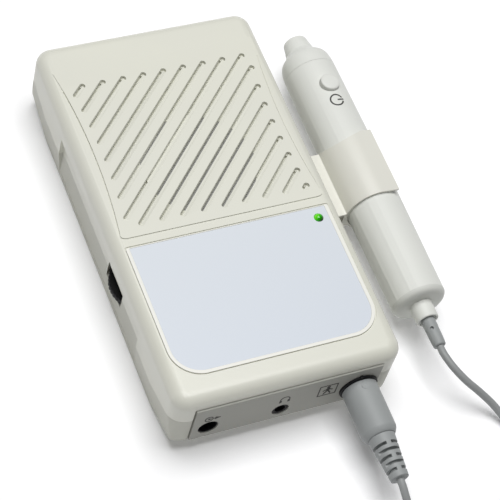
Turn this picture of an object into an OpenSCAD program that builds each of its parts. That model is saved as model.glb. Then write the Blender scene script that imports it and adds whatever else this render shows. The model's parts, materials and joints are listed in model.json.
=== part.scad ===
// Vascular doppler: a hand-held unit that lies on its back, a pencil probe in a clip on its
// right side, and one cord from the probe's tail round to the plug in the unit's near end.
// Millimetres. +X is the probe side, +Y the speaker end, +Z out of the front face.
// The origin is the middle of the unit's flat back, on the surface that it lies on.

/* [Unit] */
// Width of the unit across its upright walls
body_w = 76.4; // [72:0.2:84]
// Length of the two covers
body_l = 140; // [136:1:150]
// Height of the front face over the flat back
body_h = 28.8; // [27.6:0.2:32]
// Wall of both covers
wall = 2.0; // [1.6:0.1:2.4]
// Radius of the upright corners
corner_r = 5.5; // [3:0.5:8]
// Radius of the front edges
edge_r = 4.5; // [3:0.5:6]
// Height of the line where the covers meet
part_z = 13.1; // [12.8:0.1:14.5]
// How much further that line lies at the two ends
part_rise = 5.0; // [2:0.5:6]
// How far the side walls lean in towards the back
side_taper = 1.7; // [0:0.1:2]
// Length of the flat part of the back
flat_l = 103; // [100:1:108]
// How far the back rises from there to the ends
end_rise = 6.4; // [3:0.2:7]
// Gap between the two covers along their meeting line
seam_gap = 0.1; // [0.05:0.05:0.2]

/* [Side recess] */
// Depth of the recess in each side wall
recess_depth = 1.4; // [0.8:0.1:1.6]
// End of the recess towards the plug
recess_y0 = -38.5; // [-42:0.5:-34]
// End of the recess towards the speaker
recess_y1 = 37.5; // [34:0.5:42]
// Height of the ledge under the recess
recess_z0 = 3.1; // [2.6:0.1:4]
// Height of the recess floor's upper edge
recess_z1 = 17.4; // [16.8:0.2:19]
// Height that the slanted upper edge reaches at the wall
recess_z2 = 20.6; // [19.6:0.2:22]

/* [Speaker plate] */
// How far the plate stands proud of the front face
plate_rise = 0.4; // [0.2:0.1:0.6]
// Lower edge of the plate
plate_y0 = -9.1; // [-10:0.5:-8]
// Half width of the plate at its waist
plate_waist = 32.5; // [31:0.5:33]
// Where along the unit the waist lies
plate_waist_y = 23; // [20:1:26]
// Radius of the plate's hollow sides
plate_side_r = 221; // [180:1:260]
// Distance from the far end to where the plate starts to melt into the front face
plate_end = 20; // [18:1:22]
// Number of slits
slit_count = 17; // [11:2:17]
// Distance between slits, square to them
slit_pitch = 5.0; // [4.6:0.1:5.2]
// Width of a slit
slit_w = 1.9; // [1.4:0.1:2.2]
// Depth of a slit from the plate's face
slit_depth = 1.0; // [0.6:0.1:1.2]
// Width of the opening through the plate along each slit's upper side
slot_w = 0.8; // [0.6:0.1:1]
// Middle of the field of slits along the unit
slit_mid_y = 21.6; // [20:0.2:24]
// Distance from the far end to the field of slits
slit_end = 18.6; // [17:0.2:22]
// Lower end of the field of slits
slit_low_y = -5.7; // [-7:0.1:-4]
// Half width of the field of slits at its waist
slit_waist = 29.8; // [28:0.2:31]
// Radius of the field's hollow sides
slit_side_r = 203; // [180:1:260]

/* [Speaker] */
// Diameter of the speaker
speaker_d = 40; // [36:1:40]
// Distance from the far end to the middle of the speaker
speaker_end = 56.5; // [56:0.5:58]
// Depth of the speaker with its magnet
speaker_depth = 13; // [11:0.5:14]
// Diameter of the magnet
magnet_d = 18; // [14:1:20]

/* [Label] */
// Half width of the label plate
label_hw = 34.6; // [33:0.1:34.8]
// Upper edge of the label plate
label_y1 = -12.4; // [-13:0.1:-12]
// Distance from the unit's near end to the label plate
label_end = 9.2; // [9:0.2:12]
// Radius of its two lower corners
label_r = 10.1; // [6:0.1:12]
// Width of the rim round the printed face
label_rim = 1.2; // [0.8:0.1:2]
// Width of the rim along the label's upper edge
label_top_rim = 0.35; // [0.3:0.05:1.2]
// Thickness of the label plate
label_t = 0.9; // [0.7:0.1:1]
// Thickness of the printed film
film_t = 0.2; // [0.15:0.05:0.3]
// Groove between the plate and the cover
label_gap = 0.4; // [0.3:0.1:0.6]
// Place of the power light across the unit
led_x = 29.9; // [28:0.1:30.5]
// Distance from the label plate's upper edge down to the power light
led_drop = 4.3; // [3.6:0.1:5.6]
// Diameter of the power light
led_d = 3.0; // [2:0.5:3.5]

/* [End panel] */
// Half width of the end panel
panel_hw = 31.4; // [30:0.2:31.6]
// Distance from the front face down to the panel's upper edge
panel_drop = 4.9; // [4.6:0.1:5.7]
// How far the panel stands proud of the covers
panel_proud = 0.6; // [0.2:0.1:1]
// Thickness of the panel
panel_t = 2.6; // [2.2:0.1:3]
// Gap round the panel
panel_gap = 0.2; // [0.1:0.05:0.3]
// Place of the DC jack across the unit
dc_x = -25.8; // [-26.5:0.1:-24]
// Height of the DC jack's middle
dc_z = 12.2; // [12:0.1:13]
// Diameter of the panel's hole for the DC plug
dc_hole_d = 6.7; // [6:0.1:7]
// Diameter of the DC jack's centre pin
dc_pin_d = 2.1; // [1.3:0.1:2.5]
// Place of the headphone jack across the unit
phone_x = -1.5; // [-4:0.5:2]
// Height of the headphone jack's middle
phone_z = 11.5; // [11.4:0.1:13]
// Diameter of the headphone jack's bore
phone_bore_d = 3.6; // [3.5:0.1:3.8]
// Diameter of the headphone jack's nose
phone_nose_d = 5.4; // [5:0.1:6]
// Place of the probe socket across the unit
socket_x = 24.8; // [24:0.1:26]
// Height of the probe socket's middle
socket_z = 13.7; // [13.6:0.1:14.4]
// Diameter of the socket's ring
socket_ring_d = 14.0; // [13:0.2:14.2]
// Diameter of the socket's bore
socket_bore_d = 9.3; // [9:0.1:9.6]

/* [Board] */
// Height of the board's upper face
board_z = 8.3; // [8:0.1:8.6]
// Thickness of the board
board_t = 1.6; // [1.2:0.2:1.6]
// Half width of the board
board_hw = 33; // [32:0.5:33.5]
// Distance from the unit's near end to the board
board_end = 7.5; // [7:0.5:10]
// End of the board towards the batteries
board_y1 = -8; // [-9:0.5:4]
// Diameter of the four posts under the board
post_d = 5; // [4:0.5:6]

/* [Volume wheel] */
// Diameter of the volume wheel
wheel_d = 20; // [18:0.5:20]
// Thickness of the volume wheel
wheel_t = 2.4; // [2:0.1:2.6]
// Height of the wheel's lower face
wheel_z = 9.0; // [8.9:0.1:9.4]
// How far the wheel stands out of the recess floor
wheel_out = 1.3; // [0.8:0.1:1.4]
// Place of the wheel along the unit
wheel_y = -14.8; // [-16:0.2:-14]
// Diameter of the wheel's shaft
wheel_shaft_d = 4.0; // [3:0.5:5]
// Radial clearance of the wheel on its shaft
wheel_fit = 0.05; // [0.02:0.01:0.08]

/* [Batteries] */
// Diameter of a battery cell
cell_d = 14.5; // [13.5:0.5:14.5]
// Length of a battery cell
cell_l = 50.5; // [49:0.5:50.5]
// Distance from the far end to the middle of the first cell
cell_end = 39.5; // [39:0.5:40]
// Distance between the two cells
cell_pitch = 14.8; // [14.8:0.1:15]
// Thickness of the battery door
door_t = 1.8; // [1.5:0.1:2]
// Half width of the battery door
door_hw = 26.5; // [26.2:0.1:26.8]
// Width of the door's runners
runner_w = 0.9; // [0.6:0.1:1.1]
// Length of the battery door
door_l = 36; // [35:0.5:37]
// Distance from the far end to the door
door_end = 14; // [14:0.5:15]
// Clearance round the door
door_gap = 0.15; // [0.1:0.05:0.2]

/* [Screws] */
// Place of the case screws across the unit
screw_x = 31.8; // [31.4:0.1:32]
// Distance from the near end to the first pair of case screws
screw_near_end = 23; // [21:1:24]
// Distance from the far end to the second pair
screw_far_end = 10; // [9:0.5:10.5]
// Diameter of a boss for a case screw
boss_d = 6.4; // [6:0.1:6.6]
// Diameter of a case screw's shank
screw_d = 2.6; // [2:0.1:2.8]
// Diameter of a case screw's head
head_d = 5.0; // [4.4:0.1:5.2]
// Height of the heads' seat over the flat back
head_seat_z = 5.6; // [5:0.2:6]

/* [Probe] */
// Place of the probe's axis across the unit
probe_x = 56.6; // [54:0.2:60]
// Height of the probe's axis
probe_z = 14.0; // [12.6:0.2:16]
// Diameter of the barrel at its middle
barrel_d = 19.0; // [18:0.1:19.2]
// Diameter of the barrel's two ends
barrel_end_d = 18.4; // [17.4:0.1:18.6]
// Wall of the barrel
barrel_wall = 1.3; // [1:0.1:1.6]
// Tail end of the barrel
barrel_y0 = -46.5; // [-48:0.5:-44]
// Nose end of the barrel
barrel_y1 = 47.5; // [46:0.5:50]
// Length of the rounded nose in front of the barrel
nose_l = 9.5; // [9:0.5:12]
// Diameter of the tip at half its length
tip_d = 8.9; // [8.6:0.1:9.6]
// Width that the tip's cone gains from its end to the nose
tip_cone = 2.0; // [0:0.1:2.2]
// Length of the tip in front of the nose
tip_l = 5.4; // [4:0.2:8]
// Diameter of the push button
button_d = 6.6; // [5.6:0.2:7]
// How far the button stands proud of the barrel
button_proud = 1.3; // [1.1:0.1:1.6]
// Place of the button along the probe
button_y = 36.8; // [34:0.2:38]
// Tilt of the button round the barrel from straight up
button_tilt = 4; // [0:1:16]
// Travel of the button
button_travel = 0.8; // [0.5:0.1:0.8]

/* [Probe clip] */
// Near end of the clip
clip_y0 = -10; // [-12:1:-8]
// Length of the clip along the probe
clip_l = 25; // [23:1:26]
// Wall of the clip's ring
clip_wall = 0.8; // [0.8:0.1:1.2]
// Gap between the barrel and the clip
clip_gap = 0.2; // [0.2:0.05:0.3]
// Height of the clip's neck
neck_h = 7; // [6:0.5:7]
// Angle of the ring's mouth
mouth_angle = 120; // [110:5:130]
// How far the clip's lip reaches out from the mouth's upper end
lip_l = 5.8; // [4:0.2:6.4]
// Thickness of the clip's foot in the recess
foot_t = 1.5; // [1.2:0.1:1.6]

/* [Plug and cord] */
// Diameter of the plug
plug_d = 11.7; // [11:0.1:12]
// Length of the plug in front of its ring
plug_l = 18; // [16:0.5:20]
// Length of the strain relief behind the plug
relief_l = 13.5; // [12:0.5:16]
// Diameter of the strain relief at the plug
relief_d0 = 8.8; // [8:0.1:9.2]
// Diameter of the strain relief at the cord
relief_d1 = 6.0; // [5:0.1:6.4]
// How far the plug slides out of the socket
plug_travel = 10; // [10:0.5:12]
// Diameter of the cord
cord_d = 2.5; // [2.2:0.1:2.6]
// Distance between loops of the coil
coil_pitch = 3.0; // [3:0.05:3.2]
// Number of loops in the coil
coil_loops = 11.5; // [9.5:1:13.5]
// Radius of the coil's outer loop
coil_r = 18.4; // [18:0.1:19]

/* [Hidden] */
$fn = 64;

cream = "#dedfd6";
pale = "#e8e9e4";
lavender = "#d9dee8";
grey = "#8c8f8c";
black = "#1b1b1c";
steel = "#b9bcc0";
brass = "#c9a44b";
green = "#3f7f3a";

// A small overlap that joins two solids of one piece, and how far a cut runs past a face
eps = 0.01;
over = 1;
// Gap between a piece that is dropped in and its seat
seat = 0.1;

// Half sizes of the unit and the slope of the back's two ends
hw = body_w / 2;
hl = body_l / 2;
fl = flat_l / 2;
end_slope = atan(end_rise / (hl - fl));
seam_slope = atan(part_rise / (hl - fl));
taper_angle = atan(side_taper / part_z);
far = 60;

// Places along the unit that keep their distance from one of its ends
label_y0 = -hl + label_end;
led_y = label_y1 - led_drop;
plate_fade_y = hl - plate_end;
slit_top_y = hl - slit_end;
board_y0 = -hl + board_end;
speaker_y = hl - speaker_end;
cell_y = hl - cell_end;
door_y1 = hl - door_end;
door_y0 = door_y1 - door_l;
screw_y0 = -hl + screw_near_end;
screw_y1 = hl - screw_far_end;

// Floors and inner faces
floor_t = wall + 0.4;
inner_top = body_h - wall;
pilot_top = inner_top - 1.6;
recess_x = hw - recess_depth;
base_hw = recess_x - wall - 0.2;
inner_corner_r = 1.5;

// The battery bay: a thick rim, the pocket for the door and the opening above it
cell_z = door_t + 0.35 + cell_d / 2;
pocket_top = door_t + door_gap;
rim_top = pocket_top + 1.4;
rim_hw = door_hw + runner_w + 2.6;
rim_y0 = door_y0 - 3;
rim_y1 = door_y1 + 2;
bay_hw = cell_l / 2 + 0.65;
bay_y0 = cell_y - cell_d / 2 - 1.4;
bay_y1 = cell_y + cell_pitch + cell_d / 2 + 1.0;
bay_wall_x = cell_l / 2 + 3.1;
bay_wall_t = 1.6;
bay_wall_top = cell_z + cell_d / 2 - 1;
contact_t = 0.4;
contact_w = 10;
contact_pad_d = 5;
nub_d = 5.4;
nub_h = 1;
spring_d = 8.8;
spring_end_d = 6.8;
spring_wall = 2.2;
runner_z = 0.95;
runner_t = 0.8;

// The end panel and what it carries
panel_y0 = -hl - panel_proud;
panel_in = panel_y0 + panel_t;
panel_z1 = body_h - panel_drop;
panel_bottom_cut = 3;
flange_t = 1.0;
flange_w = 0.8;
socket_hole_d = 12.4;
socket_body_d = 12.2;
socket_ring_t = 0.8;
ring_y = panel_y0 - socket_ring_t;
socket_mid_y = -hl + 6.5;
socket_rear_d = 10.4;
socket_rear_y = -hl + 16;
socket_floor_y = -hl + 8.5;
socket_core_d = 7.2;
socket_core_y = -hl + 1.5;
jack_y0 = panel_in + flange_t + 0.15;
jack_y1 = -hl + 15.5;
jack_floor_t = 2.5;
// How far the jacks' noses stop behind the panel's face
nose_back = 0.3;
dc_body_w = 9;
phone_body_w = 6.4;
contact_count = 5;
contact_ring_r = 2.2;
contact_d = 1.5;
plug_pin_d = 0.9;
pin_fit = 0.05;

// The board's posts and screws, and what is soldered on it, from the board's near end:
// place, width, length and height of each block, then place, diameter and height of each can
post_y0 = board_y0 + 13.5;
post_y1 = board_y1 - 5;
board_screw_d = 1.7;
board_screw_head_d = 4.2;
board_screw_head_h = 1.4;
board_blocks = [
    [-8, 18.5, 12, 12, 1.6], [10, 19.5, 8, 5, 1.6], [-20, 26.5, 6, 5, 1.6],
    [8, 30.5, 7, 11, 2.8], [-24, 17.5, 5, 6, 9], [4, 47.5, 10, 5, 5]
];
board_cans = [[-4, 34.5, 6.3, 8], [22, 26.5, 8, 11], [22, 37.5, 5, 7]];

// The volume wheel's axis
wheel_r = wheel_d / 2;
wheel_x = -recess_x - wheel_out + wheel_r;
wheel_slot_gap = 0.4;
wheel_relief = 0.9;
wheel_relief_z = 15.8;
pot_d = 12.4;
pot_h = 3.1;
pot_plate_t = 0.4;
pot_cap_d = 6;
grip_count = 40;
grip_d = 0.8;

// The probe, along its own axis
barrel_in_d = barrel_end_d - 2 * barrel_wall;
spigot = 3;
seam_line = 0.08;
tail_l = 2.1;
tail_face_d = 13;
collar_d = 7.6;
collar_l = 6;
bush_d = 4.8;
bush_l = 9.8;
tip_bore_d = tip_d - 2.4;
nose_y = barrel_y1 + nose_l;
tip_y = nose_y + tip_l;
tail_y = barrel_y0 - tail_l;
collar_y = tail_y - collar_l;
bush_y = collar_y - bush_l;
lens_t = 0.8;
lens_y = tip_y - lens_t - 0.2;
crystal_t = 0.5;
backing_l = 6;
probe_board_t = 1.2;
probe_board_w = barrel_in_d - 0.4;
probe_board_y0 = barrel_y0 + 8.5;
probe_board_y1 = barrel_y1 - 5.5;
board_face = -0.2;
button_flange_t = 0.6;
button_flange_w = 0.5;
button_fit = 0.1;
// The button's rim lies just under the bore's wall, at the rim's outer edge
button_flange_z = sqrt(pow(barrel_in_d / 2, 2) - pow(button_d / 2 + button_flange_w, 2))
    - button_flange_t - 0.1;

// The probe clip
clip_in_r = barrel_d / 2 + clip_gap;
clip_out_r = clip_in_r + clip_wall;
mouth_dir = 20;
neck_top = probe_z + 1;
lip_t = clip_wall;
lip_drop = 0.67;
clip_scoop_r = 17.4;
clip_scoop_depth = 2;
clip_scoop_dir = 125;
clip_screw_z = 11.2;
clip_screw_d = 2.2;
clip_screw_ys = [clip_y0 + 6, clip_y0 + clip_l - 6];
clip_screw_l = 5;

// The plug, along the socket's axis
plug_y0 = ring_y - 0.2;
plug_y1 = plug_y0 - plug_l;
relief_y1 = plug_y1 - relief_l;
plug_nose_d = socket_bore_d - 0.1;
plug_nose_l = 9.4;
plug_inset_d = 8.6;
plug_inset_l = 12;
cord_r = cord_d / 2;

// The cord's two free stretches, by hand, and the coil between them on the surface
coil_x = 56;
coil_y = -150;
coil_lead = 3;
probe_route = [
    [56.6, -64.5, 14], [56.6, -67.2, 14], [58, -72, 13.2], [61, -76.8, 11.2], [65, -80.6, 8.4],
    [69, -84.6, 5.2], [72, -89.6, 2.6], [73.8, -95.4, 1.5], [74.4, -101.4, 1.25],
    [74.4, -107.4, 1.25], [74.4, -113.4, 1.7], [74.4, -119.2, 3], [74.4, -124.8, 4.9],
    [74.4, -130.4, 7.1], [74.4, -136, 9], [74.4, -141.6, 10.1], [74.4, -144.4, 10.25],
    [74.4, -147, 10.25]
];
plug_route = [
    [24.8, -103.2, 13.7], [24.8, -106.2, 13.5], [25, -110.6, 11.4], [25.8, -115, 7.8],
    [27.4, -119.4, 4.4], [29.8, -124, 2.1], [32.6, -129, 1.3], [35, -134.4, 1.25],
    [36.8, -139.6, 1.25], [37.6, -144.2, 1.25], [37.6, -147, 1.25]
];

// Half width of the tapering parts of the field of slits at one place along the unit
function slit_side(y) = slit_waist + slit_side_r - sqrt(pow(slit_side_r, 2) - pow(y - slit_mid_y, 2));
function slit_left(c, y, n) = n == 0 ? y : slit_left(c, -c - slit_side(y), n - 1);
function slit_right(c, y, n) = n == 0 ? y : slit_right(c, slit_side(y) - c, n - 1);
slit_step = slit_pitch * sqrt(2);
function slit_c(i) = -slit_mid_y + (i - (slit_count - 1) / 2) * slit_step;

// The coil's middle line: four piled layers, in and out, rising a layer where it turns back
layers = 4;
loops_per_layer = coil_loops / layers;
coil_in_r = coil_r - coil_pitch * loops_per_layer;
rings_per_loop = 24;
tie_w = 6;
tie_t = 0.6;
tie_gap = 0.3;
tie_lift = tie_t + 0.2;
function ease(t) = t <= 0 ? 0 : t >= 1 ? 1 : t * t * (3 - 2 * t);
function coil_layer(u) = min(layers - 1, floor(u / loops_per_layer));
function coil_in(u) = u - coil_layer(u) * loops_per_layer;
function coil_rad(u) = coil_layer(u) % 2 == 0
    ? coil_r - coil_pitch * coil_in(u) : coil_in_r + coil_pitch * coil_in(u);
function coil_climb(u) = coil_pitch * (ease((u - loops_per_layer) * 2 + 0.5)
    + ease((u - 2 * loops_per_layer) * 2 + 0.5) + ease((u - 3 * loops_per_layer) * 2 + 0.5));
function coil_angle(u) = 180 + 360 * u;
// The loops are lifted over the tie, which lies at 270 degrees
function tie_bump(a) = tie_lift * ease(1 - abs((a % 360) - 270) / 60);
function coil_point(u) = [
    coil_x + coil_rad(u) * cos(coil_angle(u)),
    coil_y + coil_rad(u) * sin(coil_angle(u)),
    cord_r + coil_climb(u) + tie_bump(coil_angle(u))
];
coil_steps = round(coil_loops * rings_per_loop);
coil_first = coil_point(0);
coil_last = coil_point(coil_loops);
coil_path = concat(
    [coil_first + [0, coil_lead, 0]],
    [for (i = [0 : coil_steps]) coil_point(coil_loops * i / coil_steps)],
    [coil_last + [0, coil_lead, 0]]
);

// Length of a path, and the coil's least gap between loops, measured on its points
function path_l(p) = len(p) < 2 ? 0 : sum([for (i = [1 : len(p) - 1]) norm(p[i] - p[i - 1])], 0);
function sum(v, i) = i >= len(v) ? 0 : v[i] + sum(v, i + 1);
near_loop = rings_per_loop / 2;
coil_gap = min([for (i = [1 : coil_steps - near_loop])
    min([for (j = [i + near_loop : coil_steps + 1]) norm(coil_path[i] - coil_path[j])])]) - cord_d;
echo(coil_least_gap = coil_gap);
echo(cord_length = path_l(probe_route) + path_l(plug_route) + path_l(coil_path));

// One closed tube along a list of points
function unit(v) = v / norm(v);
function tube_dir(p, i) = i == 0 ? unit(p[1] - p[0])
    : i == len(p) - 1 ? unit(p[i] - p[i - 1]) : unit(p[i + 1] - p[i - 1]);
function tube_ring(p, i, r, sides) =
    let (d = tube_dir(p, i), s = unit(cross(d, [0, 0, 1])), t = cross(s, d))
    [for (k = [0 : sides - 1]) p[i] + r * (s * cos(360 * (k + 0.5) / sides)
        + t * sin(360 * (k + 0.5) / sides))];
module tube(p, r, sides) {
    points = [for (i = [0 : len(p) - 1]) each tube_ring(p, i, r, sides)];
    last = (len(p) - 1) * sides;
    walls = [for (i = [0 : len(p) - 2]) for (k = [0 : sides - 1])
        let (a = i * sides + k, b = i * sides + (k + 1) % sides)
        each [[a, a + sides, b + sides], [a, b + sides, b]]];
    ends = [[for (k = [0 : sides - 1]) k], [for (k = [sides - 1 : -1 : 0]) last + k]];
    polyhedron(points, concat(ends, walls), convexity = 10);
}

// Helpers for placing
module along_y() {
    rotate([-90, 0, 0]) children();
}
module both_sides() {
    for (s = [-1, 1]) scale([s, 1, 1]) children();
}
module at_corners() {
    for (x = [-screw_x, screw_x], y = [screw_y0, screw_y1]) translate([x, y, 0]) children();
}
module on_probe() {
    translate([probe_x, 0, probe_z]) children();
}
module spun(points) {
    along_y() rotate_extrude() polygon(points);
}
module disc_y(d, y0, y1) {
    translate([0, y0, 0]) along_y() cylinder(h = y1 - y0, d = d);
}

// A block with rounded front edges and upright corners, inset all round from the unit's outside
module rounded_block(inset, bottom, side, c) {
    r = edge_r - inset;
    l = hl - inset;
    h = body_h - inset;
    intersection() {
        linear_extrude(height = body_h + over) rounded_rect(side, l, c);
        translate([0, far * 2, 0]) rotate([90, 0, 0]) linear_extrude(height = far * 4)
            bull_nose(side, h, r, bottom);
        translate([-far * 2, 0, 0]) rotate([90, 0, 90]) linear_extrude(height = far * 4)
            bull_nose(l, h, r, bottom);
    }
}
module rounded_rect(x, y, r) {
    square([2 * x - 2 * r, 2 * y], center = true);
    square([2 * x, 2 * y - 2 * r], center = true);
    for (sx = [-1, 1], sy = [-1, 1]) translate([sx * (x - r), sy * (y - r)]) circle(r = r);
}
module bull_nose(x, h, r, bottom) {
    translate([-x, bottom]) square([2 * x, h - r - bottom]);
    translate([-x + r, bottom]) square([2 * x - 2 * r, h - bottom]);
    for (s = [-1, 1]) translate([s * (x - r), h - r]) circle(r = r);
}
// Everything under the slanted ends of the back, or that far above them
module under_back(up) {
    for (s = [-1, 1]) translate([0, s * fl, 0]) rotate([s * end_slope, 0, 0])
        translate([-far, s < 0 ? -far : 0, -far + up]) cube([far * 2, far, far]);
}
// The wedges that lean the side walls in, below the meeting line and along its raised ends
module side_wedges() {
    both_sides() {
        translate([hw, -far * 2, part_z]) rotate([0, taper_angle, 0]) translate([0, 0, -far])
            cube([far, far * 4, far]);
        for (s = [-1, 1]) translate([hw, s * fl, part_z]) rotate([s * seam_slope, 0, 0])
            rotate([0, taper_angle, 0]) translate([0, s < 0 ? -far : 0, -far])
                cube([far, far, far]);
    }
}
// The space above the meeting line, moved up or down by half the gap
module above_seam(move) {
    z = part_z + move;
    e = hl + over;
    rise = part_rise * (e - fl) / (hl - fl);
    translate([-far, 0, 0]) rotate([90, 0, 90]) linear_extrude(height = far * 2)
        polygon([[-e, z + rise], [-fl, z], [fl, z], [e, z + rise], [e, far], [-e, far]]);
}
module recess_cuts() {
    reach = 1;
    z_out = recess_z2 + (recess_z2 - recess_z1) / recess_depth * reach;
    both_sides() translate([0, recess_y1, 0]) rotate([90, 0, 0])
        linear_extrude(height = recess_y1 - recess_y0)
            polygon([[recess_x, recess_z0], [hw + reach, recess_z0], [hw + reach, z_out],
                [recess_x, recess_z1]]);
}
// The outside of the closed unit, without the speaker plate
module unit_outside() {
    difference() {
        rounded_block(0, 0, hw, corner_r);
        under_back(0);
        side_wedges();
        recess_cuts();
    }
}
module panel_opening() {
    translate([-panel_hw - panel_gap, -hl - over, 0])
        cube([2 * (panel_hw + panel_gap), over + panel_in + hl + 0.05, panel_z1 + panel_gap]);
}
module label_outline(grow, top) {
    x = label_hw + grow;
    r = label_r + grow;
    y0 = label_y0 - grow;
    translate([-x, y0 + r]) square([2 * x, label_y1 + top - y0 - r]);
    translate([-x + r, y0]) square([2 * x - 2 * r, r + eps]);
    for (s = [-1, 1]) translate([s * (x - r), y0 + r]) circle(r = r);
}
// One slit, or the narrower opening along its upper side
module slit(i, depth, w) {
    c = slit_c(i);
    cap = slit_w / 2 / sqrt(2);
    low = max(slit_low_y, slit_left(c, slit_mid_y, 4)) + cap;
    high = min(slit_top_y, slit_right(c, slit_mid_y, 4)) - cap;
    run = (high - low) * sqrt(2);
    translate([low + c, low, body_h + plate_rise - depth]) rotate([0, 0, 45])
        linear_extrude(height = depth + over) {
            translate([0, slit_w / 2 - w]) square([run, w]);
            if (w == slit_w) {
                circle(d = slit_w, $fn = 32);
                translate([run, 0]) circle(d = slit_w, $fn = 32);
            }
        }
}
module speaker_plate() {
    top = body_h + plate_rise;
    fade = 8;
    corner = 2;
    side_x = plate_waist + plate_side_r;
    plate_y1 = plate_fade_y + fade;
    difference() {
        translate([0, 0, body_h - eps]) linear_extrude(height = plate_rise + eps) difference() {
            translate([-hw + corner, plate_y0])
                square([2 * hw - 2 * corner, plate_y1 - plate_y0]);
            for (s = [-1, 1]) translate([s * side_x, plate_waist_y])
                circle(r = plate_side_r, $fn = 720);
        }
        translate([-far, plate_fade_y, top]) rotate([-atan(plate_rise / fade), 0, 0])
            cube([far * 2, far, far]);
    }
}

module front_cover() {
    rib_t = 1.2;
    rib_r = speaker_d / 2 + 0.2;
    rib_z = inner_top - 3.4;
    pad_t = wall;
    color(cream) difference() {
        union() {
            intersection() {
                union() {
                    difference() {
                        unit_outside();
                        difference() {
                            rounded_block(wall, 0, hw - wall, inner_corner_r);
                            both_sides() translate([recess_x - pad_t, recess_y0 - pad_t, -over])
                                cube([far, recess_y1 - recess_y0 + 2 * pad_t,
                                    recess_z2 + pad_t + over]);
                        }
                    }
                    at_corners() cylinder(h = inner_top + eps, d = boss_d);
                }
                above_seam(seam_gap / 2);
            }
            speaker_plate();
            translate([0, speaker_y, rib_z]) difference() {
                cylinder(h = inner_top - rib_z + eps, r = rib_r + rib_t);
                translate([0, 0, -over]) cylinder(h = far, r = rib_r);
            }
        }
        for (i = [0 : slit_count - 1]) slit(i, slit_depth, slit_w);
        intersection() {
            for (i = [0 : slit_count - 1]) slit(i, wall + over, slot_w);
            translate([0, speaker_y, 0]) cylinder(h = far, r = speaker_d / 2 - 0.8);
        }
        translate([0, 0, body_h - label_t]) linear_extrude(height = label_t + over)
            label_outline(label_gap, label_gap);
        translate([led_x, led_y, inner_top - over]) cylinder(h = far, d = led_d + 0.2);
        panel_opening();
        at_corners() cylinder(h = pilot_top, d = screw_d - 0.4);
        wheel_relief_cut();
    }
}

// The finger relief above and round the volume wheel, in the wall of both covers
module wheel_relief_cut() {
    keep = 0.8;
    intersection() {
        translate([wheel_x, wheel_y, wheel_z - wheel_slot_gap])
            cylinder(h = wheel_relief_z - wheel_z + wheel_slot_gap, r = wheel_r + wheel_relief);
        translate([-hw - over, wheel_y - far / 2, 0])
            cube([over + hw - recess_x + wall - keep, far, far]);
    }
}

module back_cover() {
    gap = seam_gap / 2;
    pocket_hw = door_hw + door_gap;
    color(cream) difference() {
        union() {
            difference() {
                unit_outside();
                above_seam(-gap);
                difference() {
                    rounded_block(wall, floor_t, base_hw, inner_corner_r);
                    under_back(floor_t);
                }
            }
            // Bosses for the case screws
            intersection() {
                at_corners() cylinder(h = far, d = boss_d);
                difference() {
                    rounded_block(0, 0, hw, corner_r);
                    under_back(0);
                    side_wedges();
                    above_seam(-gap);
                }
            }
            // Thick rim round the battery door
            difference() {
                translate([-rim_hw, rim_y0, floor_t - 1])
                    cube([2 * rim_hw, rim_y1 - rim_y0, rim_top - floor_t + 1]);
                under_back(0);
            }
            // Walls that hold the battery contacts
            both_sides() translate([bay_wall_x, bay_y0, floor_t - eps])
                cube([bay_wall_t, bay_y1 - bay_y0, bay_wall_top - floor_t]);
            // Posts under the board
            board_post_places() translate([0, 0, floor_t - 1])
                cylinder(h = board_z - board_t - floor_t + 1, d = post_d);
        }
        translate([-bay_hw, bay_y0, -over])
            cube([2 * bay_hw, bay_y1 - bay_y0, rim_top + over + eps]);
        translate([-pocket_hw, door_y0 - door_gap, -over])
            cube([2 * pocket_hw, far, over + pocket_top]);
        translate([-pocket_hw - runner_w, door_y0 - door_gap, runner_z - door_gap])
            cube([2 * (pocket_hw + runner_w), far, runner_t + 2 * door_gap]);
        at_corners() {
            translate([0, 0, -over]) cylinder(h = far, d = screw_d + 0.4);
            translate([0, 0, -over]) cylinder(h = over + head_seat_z, d = head_d + 0.6);
        }
        board_post_places() translate([0, 0, floor_t]) cylinder(h = far, d = board_screw_d + 0.1);
        panel_opening();
        at_socket() disc_y(socket_body_d + 0.6, -hl - over, socket_mid_y + 0.5);
        translate([wheel_x, wheel_y, wheel_z - wheel_slot_gap])
            cylinder(h = wheel_t + 2 * wheel_slot_gap, r = wheel_r + wheel_slot_gap);
        wheel_relief_cut();
        for (y = clip_screw_ys) translate([base_hw - over, y, clip_screw_z])
            rotate([0, 90, 0]) cylinder(h = wall + 2 * over, d = clip_screw_d + 0.3);
    }
}

module board_post_places() {
    for (p = [[-14, post_y0], [11, post_y0], [-12, post_y1], [24, post_y1]])
        translate([p[0], p[1], 0]) children();
}

module battery_door() {
    grip_l = 18;
    grip_w = 1;
    grip_step = 2.5;
    grip_y = door_y1 - 12;
    color(cream) difference() {
        union() {
            translate([-door_hw, door_y0, 0.05])
                cube([2 * door_hw, door_y1 - door_y0, door_t - 0.05]);
            translate([-door_hw - runner_w, door_y0, runner_z])
                cube([2 * (door_hw + runner_w), fl + 2.2 - door_y0, runner_t]);
        }
        under_back(0.05);
        for (i = [0 : 2]) translate([-grip_l / 2, grip_y + i * grip_step, -over])
            cube([grip_l, grip_w, over + 0.5]);
    }
}

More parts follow.
